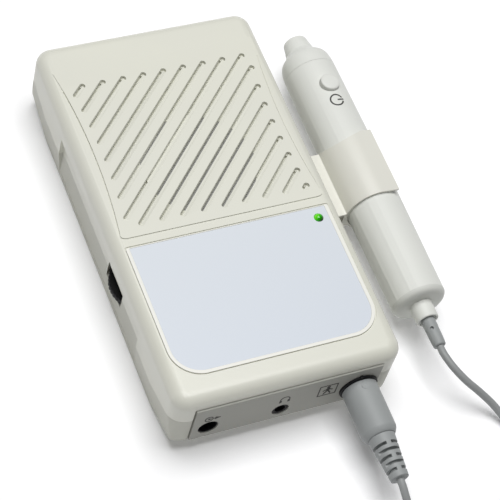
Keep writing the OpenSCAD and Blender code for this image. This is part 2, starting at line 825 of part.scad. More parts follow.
module end_panel() {
    color(cream) difference() {
        union() {
            translate([-panel_hw, panel_y0, panel_bottom_cut])
                cube([2 * panel_hw, panel_t, panel_z1 - panel_bottom_cut]);
            translate([-panel_hw - flange_w, panel_in + 0.05, panel_bottom_cut])
                cube([2 * (panel_hw + flange_w), flange_t, panel_z1 + flange_w - panel_bottom_cut]);
            translate([-panel_hw, panel_in - eps, panel_bottom_cut])
                cube([2 * panel_hw, 0.1, panel_z1 - panel_bottom_cut]);
        }
        under_back_at_panel();
        translate([dc_x, 0, dc_z]) disc_y(dc_hole_d, panel_y0 - over, 0);
        translate([phone_x, 0, phone_z]) disc_y(phone_nose_d + 0.3, panel_y0 - over, 0);
        translate([socket_x, 0, socket_z]) disc_y(socket_hole_d, panel_y0 - over, 0);
    }
}
// The panel's foot follows the slanted back, and its flange stands on the inside of the cover
module under_back_at_panel() {
    translate([0, -fl, 0]) rotate([-end_slope, 0, 0]) translate([-far, -far, -far])
        cube([far * 2, far, far]);
    intersection() {
        translate([0, -fl, 0]) rotate([-end_slope, 0, 0]) translate([-far, -far, -far])
            cube([far * 2, far, far + floor_t + seat]);
        translate([-far, panel_in + 0.05, -over]) cube([far * 2, far, far]);
    }
}

module label_plate() {
    // The rim runs round three sides, and is thin along the upper edge
    color(pale) difference() {
        translate([0, 0, body_h - label_t]) linear_extrude(height = label_t + 0.1)
            label_outline(0, 0);
        translate([0, 0, body_h - film_t]) linear_extrude(height = over)
            label_outline(-label_rim, -label_top_rim);
        translate([led_x, led_y, 0]) cylinder(h = far, d = led_d + 0.2);
    }
}
module label_film() {
    color(lavender) difference() {
        translate([0, 0, body_h - film_t]) linear_extrude(height = film_t)
            label_outline(-label_rim - 0.05, -label_top_rim - 0.05);
        translate([led_x, led_y, 0]) cylinder(h = far, d = led_d + 0.2);
    }
}
module power_led() {
    dome_z = body_h - 0.5;
    flange_z = inner_top - 1;
    color("#3fae2a") {
        translate([led_x, led_y, 0]) {
            translate([0, 0, flange_z]) cylinder(h = 1 - 0.05, d = led_d + 0.8);
            translate([0, 0, flange_z]) cylinder(h = dome_z - flange_z, d = led_d);
            translate([0, 0, dome_z]) intersection() {
                sphere(d = led_d, $fn = 48);
                cylinder(h = led_d, d = led_d + over);
            }
            for (s = [-1, 1]) translate([s * 0.7, 0, board_z])
                cylinder(h = flange_z - board_z + eps, d = 0.5);
        }
    }
}

module at_speaker(z) {
    translate([0, speaker_y, z]) children();
}
cloth_t = 0.3;
gasket_t = 0.5;
rim_t = 1.0;
frame_top = inner_top - cloth_t - gasket_t;
magnet_h = 5;
magnet_top = inner_top - speaker_depth + magnet_h;
module speaker_cloth() {
    color("#2b2b2b") at_speaker(inner_top - cloth_t) cylinder(h = cloth_t, d = speaker_d - 0.4);
}
module speaker_gasket() {
    color("#3a3a38") at_speaker(frame_top) difference() {
        cylinder(h = gasket_t, d = speaker_d);
        translate([0, 0, -over]) cylinder(h = far, d = speaker_d - 5);
    }
}
module speaker_frame() {
    basket_z = magnet_top;
    rim_z = frame_top - rim_t;
    r = speaker_d / 2;
    m = magnet_d / 2;
    color(steel) at_speaker(0) rotate_extrude() polygon([
        [m - 3, basket_z], [m + 1, basket_z], [r - 2, rim_z], [r, rim_z], [r, frame_top],
        [r - 2.6, frame_top], [r - 2.6, rim_z + 0.1], [m + 0.4, basket_z + 0.7],
        [m - 3, basket_z + 0.7]]);
}
module speaker_cone() {
    top = frame_top;
    r = speaker_d / 2 - 2.8;
    coil_d = 4.5;
    low = magnet_top + 1.0;
    color("#3b3a36") at_speaker(0) rotate_extrude() polygon([
        [0, low], [coil_d, low], [r - 1.5, top - 0.9], [r, top - 0.9], [r, top - 0.5],
        [r - 1.7, top - 0.5], [coil_d, low + 0.6], [0, low + 1.4]]);
}
module speaker_magnet() {
    color("#55575a") at_speaker(inner_top - speaker_depth) cylinder(h = magnet_h, d = magnet_d);
}

module main_board() {
    color(green) difference() {
        translate([-board_hw, board_y0, board_z - board_t])
            cube([2 * board_hw, board_y1 - board_y0, board_t]);
        for (x = [-screw_x, screw_x]) translate([x, screw_y0, 0])
            cylinder(h = far, d = boss_d + 1);
        translate([wheel_x, wheel_y, 0]) cylinder(h = far, d = pot_d + 0.6);
        board_post_places() cylinder(h = far, d = board_screw_d + 0.7);
    }
}
module board_components() {
    color("#242526") translate([0, board_y0, board_z]) {
        for (b = board_blocks) translate([b[0], b[1], 0]) cube([b[2], b[3], b[4]]);
        for (c = board_cans) translate([c[0], c[1], 0]) cylinder(h = c[3], d = c[2]);
    }
}
module board_screws() {
    color(steel) board_post_places() {
        translate([0, 0, floor_t + 0.2]) cylinder(h = board_z - floor_t, d = board_screw_d);
        translate([0, 0, board_z]) screw_head(board_screw_head_d, board_screw_head_h);
    }
}
module screw_head(d, h) {
    difference() {
        cylinder(h = h, d = d);
        for (a = [0, 90]) rotate([0, 0, a]) translate([-d * 0.32, -0.3, h / 2])
            cube([d * 0.64, 0.6, h]);
    }
}

module dc_jack() {
    bore = dc_hole_d - 0.9;
    roof_t = 1.6;
    color(black) difference() {
        union() {
            translate([dc_x - dc_body_w / 2, jack_y0, board_z])
                cube([dc_body_w, jack_y1 - jack_y0, dc_z - board_z + bore / 2 + roof_t]);
            translate([dc_x, 0, dc_z])
                disc_y(dc_hole_d - 0.2, panel_y0 + nose_back, jack_y0 + eps);
        }
        translate([dc_x, 0, dc_z]) disc_y(bore, panel_y0 - over, jack_y1 - jack_floor_t);
    }
}
module dc_jack_pin() {
    y1 = jack_y1 - jack_floor_t;
    foot_w = 0.8;
    color(steel) translate([dc_x, 0, dc_z]) {
        disc_y(dc_pin_d, panel_y0 + 2 * nose_back, y1);
        disc_y(dc_pin_d + 2 * foot_w, y1 - 0.6, y1);
    }
}
module headphone_jack() {
    color(black) difference() {
        union() {
            translate([phone_x - phone_body_w / 2, jack_y0, board_z])
                cube([phone_body_w, jack_y1 - jack_y0, phone_z - board_z + phone_body_w / 2]);
            translate([phone_x, 0, phone_z])
                disc_y(phone_nose_d, panel_y0 + nose_back, jack_y0 + eps);
        }
        translate([phone_x, 0, phone_z]) disc_y(phone_bore_d, panel_y0 - over, jack_y1 + over);
    }
}
module at_socket() {
    translate([socket_x, 0, socket_z]) children();
}
module contact_places() {
    for (i = [0 : contact_count - 1]) {
        a = 90 + 360 * i / contact_count;
        translate([contact_ring_r * cos(a), 0, contact_ring_r * sin(a)]) children();
    }
}
module probe_socket() {
    color(black) at_socket() difference() {
        union() {
            disc_y(socket_body_d, panel_y0 + 0.05, socket_mid_y);
            disc_y(socket_rear_d, socket_mid_y - eps, socket_rear_y);
        }
        difference() {
            disc_y(socket_bore_d, panel_y0 - over, socket_floor_y);
            disc_y(socket_core_d, socket_core_y, 0);
        }
        contact_places() disc_y(contact_d + 0.1, socket_core_y - over, socket_rear_y + over);
    }
}
module socket_ring() {
    key_w = 2.2;
    color(black) at_socket() difference() {
        disc_y(socket_ring_d, ring_y, panel_y0);
        disc_y(socket_bore_d, ring_y - over, panel_y0 + over);
        translate([-key_w / 2 - 0.8, ring_y - over, socket_ring_d / 2 - 0.7])
            cube([key_w, socket_ring_t + 2 * over, over]);
    }
}
module socket_contacts() {
    color(brass) at_socket() contact_places() difference() {
        disc_y(contact_d, socket_core_y + 0.3, socket_rear_y + 1.5);
        disc_y(plug_pin_d + 2 * pin_fit, socket_core_y - over, socket_floor_y);
    }
}

module at_wheel(z) {
    translate([wheel_x, wheel_y, z]) children();
}
module volume_pot() {
    shaft_top = wheel_z + wheel_t + 0.2;
    color("#4a4a46") difference() {
        union() {
            at_wheel(board_z - pot_h) cylinder(h = pot_h + eps, d = pot_d);
            at_wheel(board_z) cylinder(h = pot_plate_t, d = pot_d + 3);
            translate([wheel_x, wheel_y - 4, board_z]) cube([pot_d / 2 + 5, 8, pot_plate_t]);
            at_wheel(board_z) cylinder(h = shaft_top - board_z + 0.8, d = wheel_shaft_d);
            at_wheel(shaft_top) cylinder(h = 0.8, d = pot_cap_d);
        }
        translate([-far - base_hw + 0.1, wheel_y - far / 2, 0]) cube([far, far, far]);
    }
}
module volume_wheel() {
    color(black) at_wheel(wheel_z) difference() {
        cylinder(h = wheel_t, r = wheel_r);
        translate([0, 0, -over]) cylinder(h = far, d = wheel_shaft_d + 2 * wheel_fit);
        for (i = [0 : grip_count - 1]) rotate([0, 0, 360 * i / grip_count])
            translate([wheel_r + 0.1, 0, -over]) cylinder(h = far, d = grip_d, $fn = 16);
    }
}

module cell_places() {
    for (i = [0, 1]) translate([0, cell_y + i * cell_pitch, cell_z]) scale([i * 2 - 1, 1, 1])
        rotate([0, 90, 0]) children();
}
module battery_cells() {
    color("#a9853f") cell_places() {
        translate([0, 0, -cell_l / 2]) cylinder(h = cell_l - nub_h, d = cell_d);
        translate([0, 0, cell_l / 2 - nub_h - eps]) cylinder(h = nub_h + eps, d = nub_d);
    }
}
module battery_springs() {
    l = bay_wall_x - contact_t - cell_l / 2 - 0.05;
    r0 = spring_d / 2;
    r1 = spring_end_d / 2;
    color(steel) cell_places() translate([0, 0, -bay_wall_x + contact_t]) rotate_extrude()
        polygon([[r0 - spring_wall, 0], [r0, 0], [r1, l], [r1 - spring_wall, l]]);
}
module battery_contacts() {
    z0 = rim_top + 0.05;
    color(steel) for (s = [-1, 1]) {
        for (i = [0, 1]) translate([s < 0 ? -bay_wall_x : bay_wall_x - contact_t,
            cell_y + i * cell_pitch - contact_w / 2, z0])
                cube([contact_t, contact_w, bay_wall_top - 0.2 - z0]);
        translate([s * (bay_wall_x - contact_t), s > 0 ? cell_y + cell_pitch : cell_y, cell_z])
            rotate([0, -90 * s, 0])
                cylinder(h = bay_wall_x - contact_t - cell_l / 2 - 0.1, d = contact_pad_d);
    }
}

module case_screws() {
    z = head_seat_z;
    head_h = 1.8;
    color(steel) at_corners() {
        translate([0, 0, z - eps]) cylinder(h = pilot_top - 0.8 - z, d = screw_d - 0.45);
        translate([0, 0, z]) rotate([180, 0, 0]) screw_head(head_d, head_h);
    }
}

// A ring that is open on its outer side, on a low neck, with a lip over its mouth
module clip_profile() {
    neck_z = neck_top - neck_h;
    lip_x = clip_out_r * cos(mouth_dir + mouth_angle / 2) - 1;
    lip_z = clip_out_r * sin(mouth_dir + mouth_angle / 2) + 0.12;
    translate([probe_x, probe_z]) polygon([[lip_x, lip_z], [lip_x, lip_z - lip_t],
        [lip_x + lip_l, lip_z - lip_t - lip_drop], [lip_x + lip_l, lip_z - lip_drop]]);
    difference() {
        union() {
            translate([probe_x, probe_z]) circle(r = clip_out_r, $fn = 128);
            translate([recess_x + foot_t, neck_z])
                square([probe_x - recess_x - foot_t, neck_h]);
        }
        translate([probe_x, probe_z]) circle(r = clip_in_r, $fn = 128);
        translate([probe_x, probe_z]) polygon([[0, 0],
            far * [cos(mouth_dir - mouth_angle / 2), sin(mouth_dir - mouth_angle / 2)],
            far * sqrt(2) * [cos(mouth_dir), sin(mouth_dir)],
            far * [cos(mouth_dir + mouth_angle / 2), sin(mouth_dir + mouth_angle / 2)]]);
    }
}
module probe_clip() {
    side = 0.2;
    foot_x = recess_x + 0.05;
    color(pale) difference() {
        union() {
            translate([0, clip_y0 + clip_l, 0]) rotate([90, 0, 0])
                linear_extrude(height = clip_l) clip_profile();
            translate([foot_x, recess_y0 + side, recess_z0 + side])
                cube([foot_t, recess_y1 - recess_y0 - 2 * side, recess_z1 - recess_z0 - 2 * side]);
        }
        for (y = clip_screw_ys) translate([recess_x - over, y, clip_screw_z])
            rotate([0, 90, 0])
                cylinder(h = over + foot_t + clip_screw_l - 1, d = clip_screw_d - 0.3);
        // The far end of the ring is hollowed a little
        translate([probe_x, clip_y0 + clip_l - clip_scoop_depth + clip_scoop_r, probe_z])
            rotate([0, 90 - clip_scoop_dir, 0]) cylinder(h = far, r = clip_scoop_r, $fn = 180);
    }
}
module clip_screws() {
    color(steel) for (y = clip_screw_ys) translate([base_hw, y, clip_screw_z]) {
        rotate([0, 90, 0]) cylinder(h = recess_x - base_hw + foot_t + clip_screw_l - 2.2,
            d = clip_screw_d - 0.35);
        rotate([0, -90, 0]) screw_head(4, 1.4);
    }
}

// The probe: a bowed barrel, a rounded nose, a coned tip and a flat tail
module probe_barrel() {
    r0 = barrel_end_d / 2;
    r1 = barrel_d / 2;
    ri = barrel_in_d / 2;
    color(pale) on_probe() difference() {
        spun([[ri, barrel_y0], [r0, barrel_y0], [r1 - 0.02, -16], [r1, -4], [r1, 8],
            [r1 - 0.02, 20], [r0, barrel_y1], [ri, barrel_y1]]);
        rotate([0, button_tilt, 0]) translate([0, button_y, 0])
            cylinder(h = far, d = button_d + 2 * button_fit);
    }
}
module probe_nose() {
    r0 = barrel_end_d / 2;
    ri = barrel_in_d / 2 - 0.05;
    t = tip_d / 2;
    root = t + tip_cone * 0.35;
    l = nose_l;
    y = barrel_y1 + seam_line;
    color(pale) on_probe() spun([
        [ri - 1.4, y - spigot], [ri, y - spigot], [ri, y], [r0, y],
        [r0 - 0.15, y + 0.28 * l], [r0 - 0.45, y + 0.47 * l], [r0 - 0.95, y + 0.6 * l],
        [r0 - 1.6, y + 0.69 * l], [r0 - 2.3, y + 0.75 * l], [r0 - 3.1, y + 0.83 * l],
        [root + 0.4, y + 0.92 * l], [root + 0.12, nose_y], [t - 0.6, nose_y],
        [t - 0.6, y + 0.7 * l], [ri - 2.4, y + 0.3 * l], [ri - 1.4, y]]);
}
module probe_tip() {
    t = tip_d / 2;
    b = tip_bore_d / 2;
    y = nose_y + 0.02;
    root = t + tip_cone * 0.35;
    end = t - tip_cone * 0.12;
    color(pale) on_probe() spun([
        [b, y - 3], [t - 0.65, y - 3], [t - 0.65, y], [root, y], [end, tip_y - 0.3],
        [end - 0.3, tip_y], [b, tip_y]]);
}
module probe_lens() {
    color("#c9cdd0") on_probe() disc_y(tip_bore_d - 0.1, lens_y, lens_y + lens_t);
}
module probe_crystals() {
    gap = 0.3;
    y0 = lens_y - crystal_t;
    color(brass) on_probe() difference() {
        disc_y(tip_bore_d - 0.3, y0, lens_y);
        translate([-gap / 2, y0 - over, -far / 2]) cube([gap, crystal_t + 2 * over, far]);
    }
}
module probe_backing() {
    y1 = lens_y - crystal_t;
    color("#3c3f44") on_probe() disc_y(tip_bore_d - 0.3, y1 - backing_l, y1);
}
module probe_button() {
    top = barrel_d / 2 + button_proud;
    dome_r = 9;
    color(pale) on_probe() rotate([0, button_tilt, 0]) translate([0, button_y, 0])
        intersection() {
            union() {
                cylinder(h = top, d = button_d);
                translate([0, 0, button_flange_z])
                    cylinder(h = button_flange_t, d = button_d + 2 * button_flange_w);
            }
            translate([0, 0, top - dome_r]) sphere(r = dome_r, $fn = 96);
            translate([0, 0, button_flange_z]) cylinder(h = far, d = far);
        }
}
module probe_board() {
    color(green) on_probe() rotate([0, button_tilt, 0])
        translate([-probe_board_w / 2, probe_board_y0, board_face - probe_board_t])
            cube([probe_board_w, probe_board_y1 - probe_board_y0, probe_board_t]);
}
module probe_switch() {
    stem_top = button_flange_z - button_travel - 0.05;
    body = 6;
    color("#3a3a3a") on_probe() rotate([0, button_tilt, 0]) translate([0, button_y, 0]) {
        translate([-body / 2, -body / 2, board_face])
            cube([body, body, stem_top - board_face - 1]);
        translate([0, 0, board_face]) cylinder(h = stem_top - board_face, d = 3.4);
    }
}
module probe_tail_cap() {
    r0 = barrel_end_d / 2;
    ri = barrel_in_d / 2 - 0.05;
    y = barrel_y0 - seam_line;
    f = tail_face_d / 2;
    c = collar_d / 2 - 1.4;
    color(pale) on_probe() spun([
        [c, tail_y], [f, tail_y], [f + 1.4, tail_y + 0.25], [r0 - 0.5, y - 1.2],
        [r0 - 0.1, y - 0.6], [r0, y - 0.2],
        [r0, y], [ri, y], [ri, y + spigot], [ri - 1.4, y + spigot], [ri - 1.4, y],
        [c, tail_y + 1.6]]);
}
module probe_collar() {
    c = collar_d / 2;
    color(pale) on_probe() difference() {
        union() {
            disc_y(collar_d, collar_y, tail_y - 0.02);
            disc_y(collar_d - 2.9, tail_y - over, tail_y + 3);
        }
        disc_y(bush_d - 1.4, collar_y - over, tail_y + 4);
    }
}
module probe_bush() {
    dot_d = 0.9;
    color(grey) on_probe() difference() {
        union() {
            disc_y(bush_d, bush_y, collar_y - 0.02);
            disc_y(bush_d - 1.5, collar_y - over, tail_y + 3.6);
        }
        translate([0, collar_y - 4, bush_d / 2 - 0.5]) cylinder(h = over, d = dot_d);
    }
}

module plug_shell() {
    r = plug_d / 2;
    e = relief_d0 / 2 + 0.2;
    i = plug_inset_d / 2 + 0.02;
    color(grey) at_socket() spun([
        [0, plug_y1], [e, plug_y1], [r - 0.3, plug_y1 + 1.7], [r, plug_y1 + 2.4],
        [r, plug_y0 - 0.4], [r - 0.3, plug_y0], [i, plug_y0], [i, plug_y0 - plug_inset_l - 0.05],
        [0, plug_y0 - plug_inset_l - 0.05]]);
}
module plug_nose() {
    r = plug_nose_d / 2;
    y1 = plug_y0 + plug_nose_l;
    color(steel) at_socket() spun([
        [0, plug_y0 - plug_inset_l], [plug_inset_d / 2, plug_y0 - plug_inset_l],
        [plug_inset_d / 2, plug_y0], [r, plug_y0], [r, y1 - 0.3], [r - 0.2, y1],
        [r - 0.6, y1], [r - 0.6, plug_y0 + 2], [0, plug_y0 + 2]]);
}
module plug_pins() {
    color(brass) at_socket() contact_places()
        disc_y(plug_pin_d, plug_y0 + 2, plug_y0 + plug_nose_l - 0.6);
}
module plug_relief() {
    r0 = relief_d0 / 2;
    r1 = relief_d1 / 2;
    y0 = plug_y1 - 0.02;
    rows = 5;
    slot_l = 1.2;
    row_step = (relief_l - 3) / rows;
    color(grey) at_socket() difference() {
        spun([[0, relief_y1], [r1, relief_y1], [r1 + 0.1, relief_y1 + 5],
            [r1 + 0.9, y0 - 3], [r0 - 0.05, y0 - 0.6], [r0, y0], [0, y0]]);
        for (i = [0 : rows - 1]) rotate([0, 90 * (i % 2), 0]) for (s = [-1, 1])
            scale([s, 1, 1]) translate([cord_r + 0.5, y0 - 2.4 - i * row_step - slot_l, -r0])
                cube([far, slot_l, 2 * r0]);
    }
}

module cord_probe_run() {
    color(grey) tube(probe_route, cord_r, 8);
}
module cord_plug_run() {
    color(grey) tube(plug_route, cord_r, 8);
}
module cord_coil() {
    color(grey) tube(coil_path, cord_r, 6);
}
module coil_tie() {
    in_r = coil_in_r - cord_r - tie_gap;
    out_r = coil_r + cord_r + tie_gap;
    top = tie_lift + cord_d + (layers - 1) * coil_pitch + tie_gap;
    color(black) translate([coil_x - tie_w / 2, coil_y, 0]) difference() {
        translate([0, -out_r - tie_t, 0]) cube([tie_w, out_r - in_r + 2 * tie_t, top + tie_t]);
        translate([-over, -out_r, tie_t]) cube([tie_w + 2 * over, out_r - in_r, top - tie_t]);
    }
}

front_cover();
back_cover();
battery_door();
end_panel();
label_plate();
label_film();
power_led();
speaker_cloth();
speaker_gasket();
speaker_frame();
speaker_cone();
speaker_magnet();
main_board();
board_components();
board_screws();
dc_jack();
dc_jack_pin();
headphone_jack();
probe_socket();
socket_ring();
socket_contacts();
volume_pot();
volume_wheel();
battery_cells();
battery_springs();
battery_contacts();
case_screws();
probe_clip();
clip_screws();
probe_barrel();
probe_nose();
probe_tip();
probe_lens();
probe_crystals();
probe_backing();
probe_button();
probe_switch();
probe_board();
probe_tail_cap();
probe_collar();
probe_bush();
plug_shell();
plug_nose();
plug_pins();
plug_relief();
cord_probe_run();
cord_plug_run();
cord_coil();
coil_tie();
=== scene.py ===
# %% [markdown]
# A vascular doppler: a hand-held unit lying on its back, a pencil probe in a clip on its side,
# and one thin cord from the probe round to the plug in the unit's end.
#
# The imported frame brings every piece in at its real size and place. Most of what shows is
# modelled again here, smoother than the frame's own facets, and stands for the frame's piece.
# What lies inside keeps the frame's piece and only gets a finish.

# %% Load the frame
import json
import math

import bpy
from mathutils import Matrix, Vector

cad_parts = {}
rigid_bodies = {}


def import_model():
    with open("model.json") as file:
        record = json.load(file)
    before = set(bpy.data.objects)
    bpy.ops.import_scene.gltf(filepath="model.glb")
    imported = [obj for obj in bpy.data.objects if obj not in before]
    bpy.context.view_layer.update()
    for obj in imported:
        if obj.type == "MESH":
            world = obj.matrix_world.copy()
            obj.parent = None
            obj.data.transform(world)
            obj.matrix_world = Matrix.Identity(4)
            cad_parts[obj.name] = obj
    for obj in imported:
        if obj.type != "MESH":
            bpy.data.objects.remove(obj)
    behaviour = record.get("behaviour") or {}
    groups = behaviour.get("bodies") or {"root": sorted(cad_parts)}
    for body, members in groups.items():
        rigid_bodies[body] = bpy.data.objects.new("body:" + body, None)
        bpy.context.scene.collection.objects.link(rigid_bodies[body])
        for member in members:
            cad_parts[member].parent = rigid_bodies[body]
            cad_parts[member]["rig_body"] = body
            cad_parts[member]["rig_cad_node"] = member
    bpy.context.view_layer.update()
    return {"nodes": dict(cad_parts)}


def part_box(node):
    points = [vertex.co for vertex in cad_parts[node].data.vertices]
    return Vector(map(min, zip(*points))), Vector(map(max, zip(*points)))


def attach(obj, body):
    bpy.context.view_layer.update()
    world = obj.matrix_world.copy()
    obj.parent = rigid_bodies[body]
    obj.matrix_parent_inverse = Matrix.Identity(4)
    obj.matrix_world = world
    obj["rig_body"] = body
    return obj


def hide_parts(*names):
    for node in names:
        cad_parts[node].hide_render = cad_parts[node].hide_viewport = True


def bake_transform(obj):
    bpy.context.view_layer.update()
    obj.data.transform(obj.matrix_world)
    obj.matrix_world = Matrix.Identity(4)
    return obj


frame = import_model()

# %% [markdown]
# Sizes are written in millimetres, as on a drawing, and turned into metres where a shape is
# made. The unit's outline comes from the frame, so a new pack moves it. The case's face lies at
# FACE and the speaker plate on it at PLATE_FACE. The back is flat over the middle and rises at
# both ends, the line where the covers meet rises with it, and the walls lean in below it.

# %% Sizes of the unit, in millimetres
MM = 0.001
HALF_WIDTH, HALF_LENGTH, PLATE_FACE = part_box("front_cover")[1] / MM
FACE = 28.8
FLAT_HALF, BACK_RISE = 51.5, 6.4
SLOPE_RUN = HALF_LENGTH - FLAT_HALF
SEAM, SEAM_RISE = 13.1, 5.0
LEAN = 1.7
CORNER, EDGE = 5.5, 4.5
WALL = 2.0
print("half width", round(HALF_WIDTH, 2), "half length", round(HALF_LENGTH, 2))

# %% [markdown]
# The camera stands where the photographer stood: high over the near left corner, far enough
# away for a narrow lens. Its place was fitted to the photograph once and is kept as a place,
# two directions and a focal length.

# %% Camera
camera_place = Vector((-210.377, -312.069, 543.532)) * MM
camera_right = Vector((0.9165, -0.3570, 0.1803)).normalized()
camera_look = Vector((0.3406, 0.4607, -0.8196)).normalized()
camera_up = camera_right.cross(camera_look)
FOCAL_PIXELS, PICTURE_PIXELS, SENSOR = 1998, 500, 36

bpy.ops.object.camera_add(location=camera_place)
camera = bpy.context.object
camera.name = "camera"
camera.rotation_mode = "QUATERNION"
turn = Matrix([camera_right, camera_up, -camera_look]).transposed()
camera.rotation_quaternion = turn.to_quaternion()
camera.data.sensor_width = SENSOR
camera.data.lens = FOCAL_PIXELS / PICTURE_PIXELS * SENSOR
camera.data.clip_start = 0.01
camera.data.clip_end = 20
bpy.context.scene.camera = camera
print("camera", [round(x, 3) for x in camera.location], "lens", round(camera.data.lens, 1))

# %% [markdown]
# A few small tools are used again and again. The first makes one object the only selected
# one. The second turns a choice by place into a selection in edit mode, which is what a hand
# does with a mouse: it looks at each face, edge or point and keeps those that pass a test.

# %% Selecting
KINDS = {"FACE": "polygons", "EDGE": "edges", "VERT": "vertices"}


def only(piece):
    """Makes the piece active and the only one selected, in object mode."""
    if bpy.context.mode != "OBJECT":
        bpy.ops.object.mode_set(mode="OBJECT")
    bpy.ops.object.select_all(action="DESELECT")
    piece.select_set(True)
    bpy.context.view_layer.objects.active = piece


def choose(piece, kind, test=lambda *facts: True):
    """Opens the piece in edit mode with the faces, edges or points that pass the test selected.
    A face is tested by its centre and normal, an edge by its two ends, a point by its place,
    all in millimetres. The return value is how many were found."""
    only(piece)
    bpy.ops.object.mode_set(mode="EDIT")
    bpy.ops.mesh.select_mode(type=kind)
    bpy.ops.mesh.select_all(action="DESELECT")
    bpy.ops.object.mode_set(mode="OBJECT")
    mesh = piece.data
    found = 0
    for part in getattr(mesh, KINDS[kind]):
        if kind == "FACE":
            hit = test(part.center / MM, part.normal)
        elif kind == "EDGE":
            hit = test(*[mesh.vertices[i].co / MM for i in part.vertices])
        else:
            hit = test(part.co / MM)
        part.select = bool(hit)
        found += bool(hit)
    bpy.ops.object.mode_set(mode="EDIT")
    return found


def close(piece):
    """Back to object mode."""
    bpy.ops.object.mode_set(mode="OBJECT")
    return piece


def delete_faces(piece, test):
    choose(piece, "FACE", test)
    bpy.ops.mesh.delete(type="FACE")
    return close(piece)


def bevel(piece, test, offset, segments):
    """Rounds the edges that pass the test, and returns how many there were."""
    found = choose(piece, "EDGE", test)
    bpy.ops.mesh.bevel(offset=offset * MM, segments=segments, affect="EDGES", clamp_overlap=False)
    close(piece)
    return found


print("chooses", *KINDS)

# %% [markdown]
# Every solid starts as a primitive at its size and place. A box is a cube scaled in three
# directions. A lathe piece starts as a disc, which is then extruded ring by ring along its
# axis, each ring scaled to its radius: the way a turned part is drawn from its profile. A bent
# bar is a small rectangle spun round the Y axis.

# %% Boxes, turned pieces and spun bars
def settle(name):
    """Names the new primitive, and moves its place, turn and scale into its mesh."""
    piece = bpy.context.object
    piece.name = name
    piece.data.name = name
    only(piece)
    bpy.ops.object.transform_apply(location=True, rotation=True, scale=True)
    return piece


def move(piece, turn=(0, 0, 0), place=(0, 0, 0)):
    """Turns the piece about the zero place, then moves it, both in its mesh."""
    piece.rotation_euler = turn
    piece.location = [c * MM for c in place]
    only(piece)
    bpy.ops.object.transform_apply(location=True, rotation=True, scale=True)
    return piece


def box(name, x, y, z):
    """A box between two places along each axis, in millimetres."""
    middle = [(a + b) / 2 * MM for a, b in (x, y, z)]
    bpy.ops.mesh.primitive_cube_add(size=1, location=middle)
    bpy.context.object.scale = [abs(b - a) * MM for a, b in (x, y, z)]
    return settle(name)


AXES = {
    "X": (Vector((1, 0, 0)), (0, math.pi / 2, 0)),
    "Y": (Vector((0, 1, 0)), (-math.pi / 2, 0, 0)),
    "Z": (Vector((0, 0, 1)), (0, 0, 0)),
}


def turned(name, axis, centre, rings, sides=96, bored=False):
    """A lathe piece. Each ring is its place along the axis from the centre, and its radius.
    A bored piece has a hole through it: its last ring is joined to its first."""
    along, turn = AXES[axis]
    start = Vector(centre)
    place, radius = rings[0]
    bpy.ops.mesh.primitive_circle_add(
        vertices=sides, radius=radius * MM, fill_type="NOTHING" if bored else "NGON",
        location=(start + along * place) * MM, rotation=turn,
    )
    piece = settle(name)
    bpy.ops.object.mode_set(mode="EDIT")
    bpy.ops.mesh.select_mode(type="EDGE" if bored else "FACE")
    bpy.ops.mesh.select_all(action="SELECT")
    if bored:
        rings = rings + [rings[0]]
    for (place, radius), (next_place, next_radius) in zip(rings, rings[1:]):
        step = along * (next_place - place) * MM
        bpy.ops.mesh.extrude_region_move(TRANSFORM_OT_translate={"value": step})
        k = next_radius / radius
        scale = [1 if abs(c) > 0.5 else k for c in along]
        bpy.ops.transform.resize(
            value=scale, center_override=(start + along * next_place) * MM
        )
    bpy.ops.mesh.select_all(action="SELECT")
    bpy.ops.mesh.remove_doubles(threshold=0.002 * MM)
    bpy.ops.mesh.normals_make_consistent(inside=False)
    return close(piece)


def spun(name, x, y, sweep, steps):
    """A rectangle between two places along X and two along Y, spun round the Y axis."""
    piece = delete_faces(box(name, x, y, (0, 1)), lambda c, n: n.z < 0.5)
    move(piece, place=(0, 0, -1))
    choose(piece, "FACE")
    bpy.ops.mesh.spin(steps=steps, angle=math.radians(sweep), center=(0, 0, 0), axis=(0, 1, 0))
    bpy.ops.mesh.select_all(action="SELECT")
    bpy.ops.mesh.remove_doubles(threshold=0.0005 * MM)
    bpy.ops.mesh.normals_make_consistent(inside=False)
    return close(piece)


def smooth_line(points, steps):
    """A smooth curve through points or rings, as more of them."""
    line = []
    for i in range(len(points) - 1):
        four = (points[max(i - 1, 0)], points[i], points[i + 1],
                points[min(i + 2, len(points) - 1)])
        for t in (k / steps for k in range(steps)):
            line.append(tuple(
                0.5 * (2 * b + (c - a) * t + (2 * a - 5 * b + 4 * c - d) * t * t
                       + (3 * b - a - 3 * c + d) * t ** 3)
                for a, b, c, d in zip(*four)
            ))
    return line + [tuple(points[-1])]


print("turns about", *AXES)

# %% [markdown]
# Cutting is done with two tools. Where a flat slice takes off a whole side, bisect does it in
# one go and fills the wound. Where a pocket or a slot is sunk in, another solid is made in the
# shape of the hollow and subtracted.

# %% Slicing, cutting and rounding
def slice_off(piece, point, normal):
    """Cuts away what lies on the normal's side of a plane, and closes the cut."""
    choose(piece, "FACE")
    bpy.ops.mesh.bisect(
        plane_co=Vector(point) * MM, plane_no=Vector(normal).normalized(),
        use_fill=True, clear_outer=True, threshold=0.0001 * MM,
    )
    return close(piece)


def combine(piece, other, how="DIFFERENCE"):
    """Subtracts or adds another solid, which is used up."""
    only(piece)
    modifier = piece.modifiers.new("combine", "BOOLEAN")
    modifier.operation = how
    modifier.solver = "EXACT"
    modifier.object = other
    bpy.ops.object.modifier_apply(modifier=modifier.name)
    bpy.data.objects.remove(other)
    return piece


def drill(piece, axis, centre, low, high, radius, sides):
    """Subtracts a cylinder between two places along an axis."""
    return combine(piece, turned("drill", axis, centre, [(low, radius), (high, radius)], sides))


